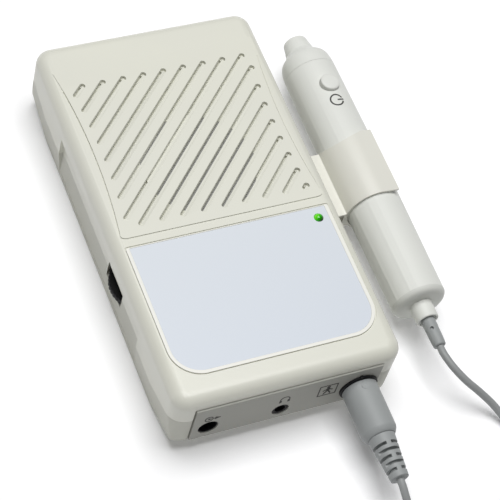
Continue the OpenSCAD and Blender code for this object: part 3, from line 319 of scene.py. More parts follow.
def join(name, pieces):
    """One object out of several."""
    only(pieces[0])
    for piece in pieces[1:]:
        piece.select_set(True)
    bpy.ops.object.join()
    pieces[0].name = name
    return pieces[0]


def merge(piece, distance, flat):
    """Merges points that coincide, and flat neighbours into whole faces."""
    choose(piece, "VERT")
    bpy.ops.mesh.remove_doubles(threshold=distance * MM)
    bpy.ops.mesh.dissolve_limited(angle_limit=math.radians(flat))
    return close(piece)


def smooth(piece, angle=32):
    """Smooth shading everywhere but across edges sharper than the angle."""
    only(piece)
    bpy.ops.object.shade_smooth_by_angle(angle=math.radians(angle))
    return piece


def soften(piece, width, angle=35, segments=2):
    """Rounds every sharp edge a little, as a mould does, and shades the rest smooth."""
    merge(piece, 0.004, 0.5)
    edges = piece.modifiers.new("edges", "BEVEL")
    edges.width = width * MM
    edges.segments = segments
    edges.limit_method = "ANGLE"
    edges.angle_limit = math.radians(angle)
    edges.use_clamp_overlap = True
    bpy.ops.object.modifier_apply(modifier=edges.name)
    smooth(piece, angle + 5)
    normals = piece.modifiers.new("normals", "WEIGHTED_NORMAL")
    normals.keep_sharp = True
    normals.weight = 80
    bpy.ops.object.modifier_apply(modifier=normals.name)
    return piece


def frame_copy(node, name, width):
    """A merged and softened copy of a frame piece whose shape is right."""
    only(frame["nodes"][node])
    bpy.ops.object.duplicate()
    piece = bpy.context.object
    piece.parent = None
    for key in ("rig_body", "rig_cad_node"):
        del piece[key]
    piece.name = name
    return soften(merge(piece, 0.002, 0.4), width, angle=32)


def done(piece, material, body, slot, *nodes):
    """Gives the piece its material, and says which body it rides on and what it stands for.
    The slot, whose finish it would name, is not used. A cord between two bodies has no body here."""
    piece.data.materials.clear()
    piece.data.materials.append(material)
    if body:
        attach(piece, body)
    if nodes:
        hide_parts(*nodes)
    return piece


print(len(frame["nodes"]), "frame pieces to copy or replace")

# %% [markdown]
# Finishes come next, so that each piece can take its own as it is made. A recipe builds one
# material: its nodes are fed by values or by each other's outputs, and every pattern in it
# lies in the object's own coordinates.

# %% A recipe for a material
class Recipe:
    def __init__(self, name):
        self.material = bpy.data.materials.new(name)
        self.material.use_nodes = True
        self.tree = self.material.node_tree
        self.place = self.node("TexCoord", "Object", {})

    def feed(self, node, inputs):
        """Links an input to another node's output, or sets it to a value."""
        for key, value in inputs.items():
            if isinstance(value, bpy.types.NodeSocket):
                self.tree.links.new(value, node.inputs[key])
            else:
                node.inputs[key].default_value = value

    def node(self, kind, out, inputs, **settings):
        """A new node's output."""
        node = self.tree.nodes.new("ShaderNode" + kind)
        for key, value in settings.items():
            setattr(node, key, value)
        self.feed(node, inputs)
        return node.outputs[out]

    def noise(self, scale, **more):
        return self.node("TexNoise", "Fac", {"Vector": self.place, "Scale": scale, **more})

    def spread(self, value, low, high, side="To"):
        """Maps the range from 0 to 1 to another, or back if side is From."""
        ends = {f"{side} Min": low, f"{side} Max": high}
        return self.node("MapRange", "Result", {"Value": value, **ends})

    def bump(self, height, strength, distance):
        return self.node("Bump", "Normal", {
            "Height": height, "Strength": strength, "Distance": distance * MM})

    def ramp(self, value, *stops):
        """Colours between stops, each a place from 0 to 1 and a colour."""
        colour = self.node("ValToRGB", "Color", {"Fac": value})
        elements = colour.node.color_ramp.elements
        for element, (place, shade) in zip(elements, (stops[0], stops[-1])):
            element.position = place
            element.color = (*shade, 1)
        for place, shade in stops[1:-1]:
            elements.new(place).color = (*shade, 1)
        return colour

    def shade(self, inputs):
        """Feeds the shader itself, and hands the material over."""
        self.feed(self.tree.nodes["Principled BSDF"], inputs)
        return self.material


print(len(bpy.data.materials), "finishes before the first recipe")

# %% [markdown]
# A moulded plastic is never one flat colour: the tool's spark-eroded skin gives it a fine
# grain, which scatters the highlight, and its tone drifts a little over the length of a part.
# The back cover has the front cover's plastic in a darker shade, and the end panel a darker
# one still: these darker shades are painted shade on faces turned away from the lamp.

# %% Plastics
def plastic(name, colour, rough, grain=0.12, grain_size=0.35, drift=0.03, coat=0.0, warm=1.0,
            gloss=0.45):
    """A moulded plastic. grain is the depth of the skin's texture, grain_size its size in
    millimetres, drift how far the tone wanders, warm tints the paler patches, and gloss is
    how much light the skin itself throws back."""
    recipe = Recipe(name)
    dark = [c * (1 - drift) for c in colour]
    pale = [min(1, c * (1 + drift)) for c in colour]
    pale[2] *= warm
    skin = recipe.noise(1 / (grain_size * MM), Detail=3)
    return recipe.shade({
        "Base Color": recipe.ramp(recipe.noise(28, Detail=4), (0.3, dark), (0.7, pale)),
        "Normal": recipe.bump(skin, grain, 0.02),
        "Roughness": recipe.spread(skin, rough - 0.05, rough + 0.05),
        "Specular IOR Level": gloss, "Coat Weight": coat, "Coat Roughness": 0.2,
    })


cover_plastic = plastic("cover_plastic", (0.71, 0.71, 0.635), 0.5, 0.35, 0.3, 0.012, 0.4, 0.985)
# The back cover's plastic is the cover's one made darker: painted shade for its walls.
back_shaded_plastic = plastic("back_shaded_plastic", (0.58, 0.58, 0.52), 0.55, 0.4, 0.3, 0.015, 0, 0.985, 0.3)
# The end panel's plastic is darker still, as painted shade for a face turned from the lamp.
panel_shaded_plastic = plastic("panel_shaded_plastic", (0.38, 0.38, 0.345), 0.55, 0.3, 0.3, 0.015, 0, 1, 0.3)
rim_plastic = plastic("rim_plastic", (0.82, 0.815, 0.76), 0.34, 0.05, 0.4, 0.01)
clip_plastic = plastic("clip_plastic", (0.74, 0.735, 0.67), 0.22, 0.03, 0.5, 0.01, 0.3)
probe_plastic = plastic("probe_plastic", (0.73, 0.74, 0.70), 0.42, 0.05, 0.4, 0.01, 0, 1, 0.25)
# The tail's plastic is the probe's made a shade darker: painted shade for its end face.
tail_shaded_plastic = plastic("tail_shaded_plastic", (0.66, 0.67, 0.63), 0.45, 0.05, 0.4, 0.01, 0, 1, 0.2)
black_plastic = plastic("black_plastic", (0.01, 0.01, 0.011), 0.5, 0.1, 0.3, 0.1, 0, 1, 0.15)
plug_plastic = plastic("plug_plastic", (0.32, 0.335, 0.335), 0.48, 0.2, 0.25, 0.03, 0, 1, 0.3)
cord_plastic = plastic("cord_jacket", (0.30, 0.31, 0.31), 0.5, 0.15, 0.25, 0.03)
component_plastic = plastic("component_plastic", (0.02, 0.02, 0.022), 0.4, 0.1, 0.3, 0.1)
cell_plastic = plastic("cell_wrap", (0.45, 0.27, 0.07), 0.3, 0.05, 0.4, 0.05)
board_green = plastic("board_green", (0.02, 0.16, 0.05), 0.35, 0.2, 0.6, 0.08)
magnet_grey = plastic("magnet_grey", (0.06, 0.06, 0.065), 0.5, 0.3, 0.2, 0.1)
cone_paper = plastic("cone_paper", (0.03, 0.03, 0.028), 0.85, 0.8, 0.5, 0.15)
foam = plastic("gasket_foam", (0.02, 0.02, 0.02), 0.9, 1.0, 0.4, 0.2)
lens_epoxy = plastic("lens_epoxy", (0.5, 0.52, 0.53), 0.25, 0.03, 0.4, 0.02)
print(len(bpy.data.materials), "finishes so far")

# %% [markdown]
# Metal differs from plastic in its colour and in how its highlight stretches. Plated steel
# screws and brass pins are small here, so a noise in their roughness is enough. The dust cloth
# is a plain weave of two sine waves across each other.

# %% Metal and cloth
def metal(name, colour, rough):
    recipe = Recipe(name)
    scatter = recipe.spread(recipe.noise(900, Detail=5), rough - 0.08, rough + 0.1)
    return recipe.shade({"Base Color": (*colour, 1), "Metallic": 1, "Roughness": scatter})


def cloth(name, colour, pitch):
    """A weave whose threads lie a pitch apart, in millimetres."""
    recipe = Recipe(name)
    scale = 1 / (pitch * MM) / 20 * 6.283
    waves = [recipe.node("TexWave", "Fac", {"Vector": recipe.place, "Scale": scale},
                         bands_direction=direction) for direction in ("X", "Y")]
    high = recipe.node("Math", "Value", dict(enumerate(waves)), operation="MAXIMUM")
    return recipe.shade({
        "Base Color": recipe.ramp(high, (0, [c * 0.4 for c in colour]), (1, colour)),
        "Normal": recipe.bump(high, 1, 0.05), "Roughness": 0.9,
    })


steel = metal("plated_steel", (0.62, 0.63, 0.65), 0.3)
brass = metal("gold_plated_brass", (0.8, 0.6, 0.25), 0.25)
dust_cloth = cloth("dust_cloth", (0.45, 0.45, 0.44), 0.5)
print("made", steel.name, brass.name, dust_cloth.name)

# %% [markdown]
# The printed face is a film under a satin coat. The photograph shows it a little paler towards
# the speaker end and bluer towards the jacks, so its colour runs along the unit. The power
# light is a green lens that glows faintly by itself. Its green is painted: a painted highlight
# on its far left side and painted shade on its near right one, and the glow takes the same
# colours.

# %% Label film, power light and ink
LED = (29.9, -16.7)


def label_film_material():
    recipe = Recipe("label_film")
    y = recipe.node("SeparateXYZ", "Y", {"Vector": recipe.place})
    along = recipe.spread(y, -60 * MM, -12 * MM, "From")
    return recipe.shade({
        "Base Color": recipe.ramp(along, (0, (0.63, 0.675, 0.74)), (1, (0.66, 0.70, 0.75))),
        "Normal": recipe.bump(recipe.noise(2500), 0.08, 0.01), "Roughness": 0.36,
    })


def led_material():
    recipe = Recipe("led_green")
    across = Vector((-0.6, 0.8))
    middle = across.dot(Vector(LED)) * MM
    reach = recipe.node("VectorMath", "Value", {0: recipe.place, 1: (*across, 0)},
                        operation="DOT_PRODUCT")
    # depth runs across the lens: a painted highlight on the far left, painted shade on the near
    # right.
    depth = recipe.spread(reach, middle - 1.3 * MM, middle + 1.0 * MM, "From")
    green = recipe.ramp(depth, (0, (0.004, 0.03, 0.001)), (0.45, (0.02, 0.36, 0.003)),
                        (1, (0.16, 0.72, 0.02)))
    return recipe.shade({
        "Base Color": green, "Emission Color": green, "Emission Strength": 0.3,
        "Roughness": 0.12, "Transmission Weight": 0.2,
    })


def ink_material():
    recipe = Recipe("pad_print")
    tone = recipe.ramp(recipe.noise(3000), (0, (0.02, 0.02, 0.018)), (1, (0.05, 0.048, 0.042)))
    return recipe.shade({"Base Color": tone, "Roughness": 0.55})


film_finish = label_film_material()
led_finish = led_material()
ink = ink_material()
print(len(bpy.data.materials), "finishes")

# %% [markdown]
# The cord is made first, because it decides how much room the model takes. It is one cord in
# three stretches: a free one from the probe's bush, a tied coil for the length that the
# photograph doesn't show, and a free one to the plug. The points are the ones that the
# frame's tubes follow.

# %% The cord's routes, in millimetres
CORD_D = 2.5
PROBE_ROUTE = [
    (56.6, -64.5, 14), (56.6, -67.2, 14), (58, -72, 13.2), (61, -76.8, 11.2), (65, -80.6, 8.4),
    (69, -84.6, 5.2), (72, -89.6, 2.6), (73.8, -95.4, 1.5), (74.4, -101.4, 1.25),
    (74.4, -107.4, 1.25), (74.4, -113.4, 1.7), (74.4, -119.2, 3), (74.4, -124.8, 4.9),
    (74.4, -130.4, 7.1), (74.4, -136, 9), (74.4, -141.6, 10.1), (74.4, -144.4, 10.25),
    (74.4, -147, 10.25),
]
PLUG_ROUTE = [
    (24.8, -103.2, 13.7), (24.8, -106.2, 13.5), (25, -110.6, 11.4), (25.8, -115, 7.8),
    (27.4, -119.4, 4.4), (29.8, -124, 2.1), (32.6, -129, 1.3), (35, -134.4, 1.25),
    (36.8, -139.6, 1.25), (37.6, -144.2, 1.25), (37.6, -147, 1.25),
]
COIL_CENTRE = (56, -150)
COIL_R, COIL_PITCH, COIL_LOOPS, COIL_LAYERS = 18.4, 3.0, 11.5, 4
STEPS_PER_LOOP, STRAIGHT_END = 48, 3
TIE_LIFT, TIE_REACH = 0.8, 60


def ease(t):
    """Rises gently from 0 to 1 while t does."""
    t = min(1, max(0, t))
    return t * t * (3 - 2 * t)


def coil_point(turns):
    """Where the cord is after so many turns: four piled layers, in and out again."""
    per_layer = COIL_LOOPS / COIL_LAYERS
    layer = min(COIL_LAYERS - 1, int(turns / per_layer))
    within = turns - layer * per_layer
    inner = COIL_R - COIL_PITCH * per_layer
    radius = COIL_R - COIL_PITCH * within if layer % 2 == 0 else inner + COIL_PITCH * within
    climb = sum(ease((turns - k * per_layer) * 2 + 0.5) for k in range(1, COIL_LAYERS))
    angle = 180 + 360 * turns
    over_tie = TIE_LIFT * ease(1 - abs(angle % 360 - 270) / TIE_REACH)
    return (
        COIL_CENTRE[0] + radius * math.cos(math.radians(angle)),
        COIL_CENTRE[1] + radius * math.sin(math.radians(angle)),
        CORD_D / 2 + COIL_PITCH * climb + over_tie,
    )


coil_steps = int(COIL_LOOPS * STEPS_PER_LOOP)
coil_line = [coil_point(COIL_LOOPS * i / coil_steps) for i in range(coil_steps + 1)]
way_in, way_out = [(x, y + STRAIGHT_END, z) for x, y, z in (coil_line[0], coil_line[-1])]
coil_line = [way_in, *coil_line, way_out]
print(len(coil_line), "points along the coil")

# %% [markdown]
# A tube along a line of points is a curve with a round bevel, turned into a mesh. The points on
# the free stretches are joined by a smooth curve first, so that the cord has no kinks.


def tube(name, points, diameter, sides=12):
    """A round tube along points in millimetres, as a mesh."""
    curve = bpy.data.curves.new(name, "CURVE")
    curve.dimensions = "3D"
    curve.bevel_depth = diameter / 2 * MM
    curve.bevel_resolution = (sides - 4) // 2
    curve.use_fill_caps = True
    spline = curve.splines.new("POLY")
    spline.points.add(len(points) - 1)
    for point, place in zip(spline.points, points):
        point.co = (*[c * MM for c in place], 1)
    piece = bpy.data.objects.new(name, curve)
    bpy.context.collection.objects.link(piece)
    only(piece)
    bpy.ops.object.convert(target="MESH")
    piece = bpy.context.object
    piece.name = name
    choose(piece, "VERT")
    bpy.ops.mesh.remove_doubles(threshold=0.01 * MM)
    bpy.ops.mesh.normals_make_consistent(inside=False)
    return smooth(close(piece), 50)


probe_line = smooth_line(PROBE_ROUTE, 8)
plug_line = smooth_line(PLUG_ROUTE, 8)
cord_to_probe = tube("cord_to_probe", probe_line, CORD_D)
cord_to_plug = tube("cord_to_plug", plug_line, CORD_D)
cord_coil = tube("cord_coil_wound", coil_line, CORD_D, 10)
for piece, node, body, route in (
    (cord_to_probe, "cord_probe_run", "probe", PROBE_ROUTE),
    (cord_to_plug, "cord_plug_run", "plug", PLUG_ROUTE),
):
    done(piece, cord_plastic, None, "cord_grey", node)
    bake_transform(piece)
done(cord_coil, cord_plastic, "unit", "cord_grey", "cord_coil")

# %% [markdown]
# The closed case is one convex block: a box with upright corners and a rolled front edge. Its
# back rises at both ends, and its side walls lean in below the line where the covers meet. All
# of these are flat slices, so bisect shapes it. Each side wall has a shallow recess whose upper
# edge is slanted.

# %% The block that the front cover starts from
def rounded_block(name, half_x, half_y, bottom, top, corner, edge):
    """A box with rounded upright edges and a rounded upper rim."""
    piece = box(name, (-half_x, half_x), (-half_y, half_y), (bottom, top))
    bevel(piece, lambda a, b: abs(a.z - b.z) > 1, corner, 10)
    bevel(piece, lambda a, b: min(a.z, b.z) > top - 0.01, edge, 8)
    return piece


def case_block(name):
    """The outside of the closed case."""
    piece = rounded_block(name, HALF_WIDTH, HALF_LENGTH, 0, FACE, CORNER, EDGE)
    rise = SEAM_RISE / SLOPE_RUN
    for end in (-1, 1):
        slice_off(piece, (0, end * FLAT_HALF, 0), (0, end * BACK_RISE, -SLOPE_RUN))
    for side in (-1, 1):
        slice_off(piece, (side * HALF_WIDTH, 0, SEAM), (side * SEAM, 0, -LEAN))
        for end in (-1, 1):
            slice_off(piece, (side * HALF_WIDTH, end * FLAT_HALF, SEAM),
                      (side * SEAM, end * LEAN * rise, -LEAN))
    return piece


RECESS_X = HALF_WIDTH - 1.4
RECESS_Y = (-38.5, 37.5)
RECESS_LOW, RECESS_HIGH, RECESS_EDGE = 3.1, 17.4, 20.6


def recess_tool(side):
    """The air in the recess of one side wall."""
    piece = box("recess", (side * RECESS_X, side * (RECESS_X + 6)), RECESS_Y, (RECESS_LOW, 32))
    return slice_off(piece, (side * RECESS_X, 0, RECESS_HIGH),
                     (-side * (RECESS_EDGE - RECESS_HIGH), 0, HALF_WIDTH - RECESS_X))


SEAM_GAP = 0.05
front = case_block("front_cover_shell")
for end in (-1, 1):
    slice_off(front, (0, end * FLAT_HALF, SEAM + SEAM_GAP), (0, end * SEAM_RISE, -SLOPE_RUN))
slice_off(front, (0, 0, SEAM + SEAM_GAP), (0, 0, -1))
for side in (-1, 1):
    combine(front, recess_tool(side))
print("front cover", len(front.data.polygons), "faces as a block")

# %% [markdown]
# The raised speaker plate has two hollow sides, each part of a very wide cylinder, and a far
# end that melts into the face. A hair of a groove runs along the foot of each hollow side,
# where the photograph shows a thin dark line.

# %% Front cover: the raised plate
PLATE_LOW, PLATE_HIGH, PLATE_FADE, PLATE_R = -9.1, 58, 50, 2.4
WAIST, WAIST_Y, HOLLOW, HOLLOW_SIDES = 32.5, 23, 221, 720


def speaker_plate():
    """The plate, sunk a little into the face."""
    piece = box("plate", (-HALF_WIDTH + 2, HALF_WIDTH - 2), (PLATE_LOW, PLATE_HIGH),
                (FACE - 0.5, PLATE_FACE))
    for side in (-1, 1):
        bpy.ops.mesh.primitive_cylinder_add(
            vertices=HOLLOW_SIDES, radius=HOLLOW * MM, depth=20 * MM,
            location=(side * (WAIST + HOLLOW) * MM, WAIST_Y * MM, FACE * MM),
        )
        combine(piece, settle("hollow"))
    slice_off(piece, (0, PLATE_FADE, PLATE_FACE),
              (0, PLATE_FACE - FACE, PLATE_HIGH - PLATE_FADE))
    bevel(piece, lambda a, b: abs(a.z - b.z) > 0.3 and max(a.y, b.y) < PLATE_LOW + 0.01,
          PLATE_R, 8)
    return piece


def plate_groove_tool(side):
    """The groove along one hollow side: a thin ring, of which the plate's length is kept."""
    inner, outer, low, high = HOLLOW - 0.32, HOLLOW + 0.03, -0.25, 1
    piece = turned("plate_groove", "Z", (side * (WAIST + HOLLOW), WAIST_Y, FACE),
                   [(low, inner), (high, inner), (high, outer), (low, outer)],
                   HOLLOW_SIDES, bored=True)
    slice_off(piece, (side * 60, 0, 0), (side, 0, 0))
    slice_off(piece, (0, PLATE_LOW + PLATE_R, 0), (0, -1, 0))
    return slice_off(piece, (0, PLATE_FADE, 0), (0, 1, 0))


combine(front, speaker_plate(), "UNION")
for side in (-1, 1):
    combine(front, plate_groove_tool(side))
print("front cover", len(front.data.polygons), "faces before its slits")

# %% [markdown]
# A slit is a round-ended groove at 45 degrees whose floor slopes: it is deepest along its
# upper side, where a narrow gutter runs and bends round the upper end, and it comes up to the
# face along its lower side. Its cutter is a flat lathe piece, one half of which is pulled out
# to the slit's length before the whole is tipped over.

# %% Front cover: slits
SLIT_COUNT, SLIT_PITCH, SLIT_W, SLIT_DEPTH = 17, 5.0, 1.9, 0.85
SLIT_MID, SLIT_TOP, SLIT_LOW = 21.6, 51.4, -5.7
SLIT_WAIST, SLIT_HOLLOW = 29.8, 203.0
GUTTER, HOOK_IN, GAP = 0.75, 0.4, 0.02


def slit_side(y):
    """Half width of the field of slits at a place along the unit."""
    return SLIT_WAIST + SLIT_HOLLOW - math.sqrt(SLIT_HOLLOW ** 2 - (y - SLIT_MID) ** 2)


def slit_ends(i):
    """The lower left and upper right end of slit number i."""
    c = -SLIT_MID + (i - (SLIT_COUNT - 1) / 2) * SLIT_PITCH * math.sqrt(2)
    left = right = SLIT_MID
    for _ in range(4):
        left, right = -c - slit_side(left), slit_side(right) - c
    cap = SLIT_W / 2 / math.sqrt(2)
    low, high = max(SLIT_LOW, left) + cap, min(SLIT_TOP, right) - cap
    return (low + c, low), (high + c, high)


def slit_run(i):
    return math.dist(*slit_ends(i))


def lay(piece, i, tip=0.0, aside=0.0):
    """Tips a cutter made along X at the zero place, and lays it on slit number i."""
    (x, y), _ = slit_ends(i)
    shift = aside / math.sqrt(2)
    return move(piece, (-tip, 0, math.pi / 4), (x + shift, y - shift, PLATE_FACE))


def slit_tool(i):
    """The groove itself, hinged on the lower side of the slit."""
    half = SLIT_W / 2
    piece = turned(f"slit_{i}", "Z", (0, half, 0), [(-0.14, half), (1.5, half)], sides=26)
    choose(piece, "VERT", lambda p: p.x > 0.001)
    bpy.ops.transform.translate(value=(slit_run(i) * MM, 0, 0))
    return lay(close(piece), i, tip=math.atan(SLIT_DEPTH / SLIT_W), aside=half)


def gutter_tool(i, low, high):
    """A narrow straight cut along the upper side of a slit."""
    return lay(box(f"gutter_{i}", (-0.3, slit_run(i)), (SLIT_W / 2 - GUTTER, SLIT_W / 2 - GAP),
                   (low - PLATE_FACE, high - PLATE_FACE)), i)


def hook_tool(i):
    """The gutter's bend round the upper end of a slit: half of a thick ring."""
    outer, low, high, run = SLIT_W / 2 - GAP, -1.3, 0.5, slit_run(i)
    piece = turned(f"hook_{i}", "Z", (run, 0, 0), [
        (low, HOOK_IN), (low, outer), (high, outer), (high, HOOK_IN)], sides=26, bored=True)
    return lay(slice_off(piece, (run - 0.05, 0, 0), (-1, 0, 0)), i)


slits = range(SLIT_COUNT)
combine(front, join("slits", [slit_tool(i) for i in slits]))
combine(front, join("gutters", [
    gutter_tool(i, PLATE_FACE - 2.25, PLATE_FACE - 0.5) for i in slits]))
combine(front, join("hooks", [hook_tool(i) for i in slits]))
print("front cover", len(front.data.polygons), "faces with its slits")

# %% [markdown]
# The label plate will lie in a pocket of the front cover with a fine groove round it. The
# pocket is cut in two steps: a deep one that the plate just fits, and a shallow wider one that
# leaves the groove. Both are the label's outline, grown a little, and the same outline shapes
# the plate and its film later.

# %% Front cover: pocket for the label
LABEL_HALF, LABEL_TOP, LABEL_LOW, LABEL_R = 34.6, -12.4, -60.8, 10.1
LABEL_DEPTH, GROOVE = 0.9, 0.4


def label_block(name, grow, low, high, top=None):
    """The label's outline, two lower corners rounded wide and two upper ones hardly. Its upper
    edge may grow or shrink by another amount than the rest."""
    upper = LABEL_TOP + (grow if top is None else top)
    piece = box(name, (-LABEL_HALF - grow, LABEL_HALF + grow),
                (LABEL_LOW - grow, upper), (low, high))
    bevel(piece, lambda a, b: abs(a.z - b.z) > 0.1 and a.y < -40, LABEL_R + grow, 20)
    bevel(piece, lambda a, b: abs(a.z - b.z) > 0.1 and min(a.y, b.y) > LABEL_TOP - 3,
          max(0.3, 0.5 + grow), 4)
    return piece


combine(front, label_block("pocket", 0.06, FACE - LABEL_DEPTH, FACE + 2))
combine(front, label_block("label_groove", GROOVE, FACE - 0.4, FACE + 2))
print("front cover", len(front.data.polygons), "faces with its pocket")

# %% [markdown]
# Hollowing the cover takes one more solid, the air inside it. Where the cover keeps material,
# for the four screw bosses and the ring that centres the speaker, the air has a hole, so these
# are taken out of the air first and never have to be added to the cover. Over the speaker the
# gutters are cut right through. Last come the openings for the end panel and the power light.

# %% Front cover: hollow with its bosses and speaker ring
SPEAKER_Y, SPEAKER_R = 13.5, 19.2
SCREWS = [(x, y) for x in (-31.8, 31.8) for y in (-47, 60)]
BOSS_R, PILOT_R = 3.2, 1.1
PANEL_IN, SLACK = -68.0, 0.05


def led_hole(piece):
    """The hole that the power light stands in."""
    return drill(piece, "Z", (*LED, 0), 20, 40, 1.6, 32)


air = rounded_block("air", HALF_WIDTH - 3.6, HALF_LENGTH - WALL, 2, FACE - WALL, 2.7, 2.4)
for place in SCREWS:
    drill(air, "Z", (*place, 0), 1, 30, BOSS_R, 48)
combine(air, turned("speaker_ring", "Z", (0, SPEAKER_Y, 0), [
    (23.4, 20.2), (23.4, 21.4), (30, 21.4), (30, 20.2)], 96, bored=True))
combine(front, air)
for place in SCREWS:
    drill(front, "Z", (*place, 0), 1, 25.2, PILOT_R, 24)
slots = join("slots", [gutter_tool(i, 20, PLATE_FACE - 1.5) for i in slits])
core = turned("core", "Z", (0, SPEAKER_Y, 0), [(19, SPEAKER_R), (PLATE_FACE + 1, SPEAKER_R)], 96)
combine(slots, core, "INTERSECT")
combine(front, slots)
combine(front, box("opening", (-31.6, 31.6), (-80, PANEL_IN + SLACK), (-5, 24.1)))
led_hole(front)
print("front cover", len(front.data.polygons), "faces")

# %% [markdown]
# The volume wheel peeps out of the left recess, and the wall round it is scooped away by a
# finger's width. The scoop is part of a cylinder round the wheel's own axis. Last, every edge
# gets the small radius that a mould leaves, which is what catches the light.

# %% Front cover: scoop and soft edges
WHEEL = (-28.1, -14.8)
WHEEL_LOW, WHEEL_T, WHEEL_R = 9.0, 2.4, 10.0
SCOOP_LOW, SCOOP_TOP, SCOOP_R = WHEEL_LOW - 0.4, 15.8, WHEEL_R + 0.9

scoop = turned("scoop", "Z", (*WHEEL, 0), [(SCOOP_LOW, SCOOP_R), (SCOOP_TOP, SCOOP_R)], 128)
slice_off(scoop, (-35.6, 0, 0), (1, 0, 0))
combine(front, scoop)
soften(front, 0.25)
done(front, cover_plastic, "unit", "cover", "front_cover")
print("front cover", len(front.data.polygons), "faces, softened")

# %% [markdown]
# The back cover is flat where it rests, with two slanted ends. Its own frame piece already
# has every face in place, the battery bay among them, so it is copied, its loose triangles
# are merged into whole faces, and its edges get the small radius of a mould. The battery door
# is a plate whose sides carry tongues that run in the cover's grooves, with three grooves
# outside that a thumb can grip.

# %% Back cover and battery door
back = frame_copy("back_cover", "back_cover_shell", 0.22)
# Its darker plastic is painted shade.
done(back, back_shaded_plastic, "unit", "cover", "back_cover")

door = box("battery_door_lid", (-26.5, 26.5), (20, 56), (0.05, 1.8))
combine(door, box("runners", (-27.4, 27.4), (20, 53.7), (0.95, 1.75)), "UNION")
slice_off(door, (0, FLAT_HALF, 0.05), (0, BACK_RISE, -SLOPE_RUN))
for y in (44, 46.5, 49):
    combine(door, box("grip", (-9, 9), (y, y + 1), (-1, 0.5)))
soften(door, 0.15)
# The door takes the same darker plastic, which is painted shade.
done(door, back_shaded_plastic, "door", "cover", "battery_door")
print("back cover", len(back.data.polygons), "faces, door", len(door.data.polygons))

# %% [markdown]
# The end panel is a separate plate, darker grey, which drops into the gap between the covers:
# its darkness is painted shade. It stands a little proud, and its foot follows the slanted
# back. A flange behind it holds it in. Its three holes are drilled with lathe pieces, and its
# edges are rounded enough to catch the light.

# %% End panel
DC, PHONE, SOCKET = (-25.8, 12.2), (-1.5, 11.5), (24.8, 13.7)
PANEL_FACE, PANEL_FOOT, PANEL_TOP, FLANGE_TOP, FLANGE_UP = -70.6, 2, 23.9, 24.7, 2.5


def back_plane(up=0.0):
    """A point on the slanted near end of the back, and its outward direction."""
    slope = Vector((0, -BACK_RISE, -SLOPE_RUN)).normalized()
    return Vector((0, -FLAT_HALF, 0)) - slope * up, slope


panel = box("end_panel_plate", (-31.2, 31.2), (PANEL_FACE, PANEL_IN), (PANEL_FOOT, PANEL_TOP))
slice_off(panel, *back_plane())
flange = box("flange", (-32.2, 32.2), (PANEL_IN + SLACK, PANEL_IN + 1.05),
             (PANEL_FOOT, FLANGE_TOP))
slice_off(flange, *back_plane(FLANGE_UP))
link = box("link", (-31.4, 31.4), (PANEL_IN - 0.2, PANEL_IN + 0.3), (PANEL_FOOT, PANEL_TOP))
slice_off(link, *back_plane(FLANGE_UP))
combine(flange, link, "UNION")
combine(panel, flange, "UNION")
for (x, z), radius in ((DC, 3.35), (PHONE, 2.85), (SOCKET, 6.2)):
    drill(panel, "Y", (x, 0, z), -80, -60, radius, 96)
soften(panel, 0.3, segments=3)
# Its darker plastic is painted shade.
done(panel, panel_shaded_plastic, "unit", "cover", "end_panel")
print("end panel", len(panel.data.polygons), "faces")

# %% [markdown]
# Jacks are black nylon. The DC jack has a round mouth with a steel pin in its middle, the
# headphone jack a nose that fills its hole, and the probe's socket a narrow ring in front of
# the panel with a small mark that shows which way round the plug goes in.

# %% Jacks and socket
RING_FACE, RING_FOOT = -71.4, -70.55
SOCKET_AXIS = (SOCKET[0], 0, SOCKET[1])

for node, width in (("dc_jack", 0.15), ("headphone_jack", 0.2), ("probe_socket", 0.12)):
    jack = frame_copy(node, f"{node}_body", width)
    done(jack, black_plastic, "unit", "black_plastic", node)
ring = turned("socket_ring_lip", "Y", SOCKET_AXIS, [
    (RING_FOOT, 5.2), (RING_FACE, 5.2), (RING_FACE, 6.2), (-71.1, 6.45), (RING_FOOT, 6.45)],
    96, bored=True)
combine(ring, box("key", (SOCKET[0] - 1.0, SOCKET[0]), (RING_FACE, RING_FOOT),
                  (SOCKET[1] + 6, SOCKET[1] + 7)), "UNION")
soften(ring, 0.06)
done(ring, black_plastic, "unit", "black_plastic", "socket_ring")
pin = turned("dc_pin", "Y", (DC[0], 0, DC[1]), [
    (-57.6, 1.8), (-57.6, 0.85), (-67.9, 0.85), (-68.3, 0.7), (-68.5, 0.35)], 40)
soften(pin, 0.05)
done(pin, steel, "unit", "steel", "dc_jack_pin")
print("socket ring", len(ring.data.polygons), "faces, pin", len(pin.data.polygons))

# %% [markdown]
# The label plate has a raised white rim, and the printed film lies inside the rim, a hair
# lower. Both start from the pocket's outline, shrunk to fit. A hole lets the power light
# through.

# %% Label plate and film
label = label_block("label_plate_rim", 0, FACE - LABEL_DEPTH, FACE + 0.1)
combine(label, label_block("sink", -1.2, FACE - 0.2, FACE + 1, top=-0.35))
led_hole(label)
soften(label, 0.28, segments=3)
done(label, rim_plastic, "unit", "label_rim", "label_plate")

film = label_block("label_film_sheet", -1.22, FACE - 0.2, FACE - 0.02, top=-0.37)
led_hole(film)
soften(film, 0.06)
done(film, film_finish, "unit", "label", "label_film")
print("label plate", len(label.data.polygons), "faces, film", len(film.data.polygons))

# %% [markdown]
# The power light is an ordinary 3 mm light: a green epoxy body with a domed end and a flange,
# pushed up from inside until its dome stands over the film.

# %% Power light
led = turned("power_light", "Z", (*LED, 0), [
    (25.8, 1.9), (26.7, 1.9), (26.7, 1.5), (28.3, 1.5), (28.75, 1.43), (29.1, 1.26),
    (29.4, 0.97), (29.6, 0.6), (29.69, 0.25)], 40)
smooth(led, 40)
done(led, led_finish, "unit", "led", "power_led")
print("power light", len(led.data.polygons), "faces")

# %% [markdown]
# The volume wheel is a thin black disc with a knurled edge. One groove is cut out of the rim
# at a time on a real mill. Here one cutter is spun into forty copies, which are subtracted
# together.

# %% Volume wheel
WHEEL_TOP, WHEEL_BORE, WHEEL_EDGE, KNURLS = WHEEL_LOW + WHEEL_T, 2.05, 0.3, 40

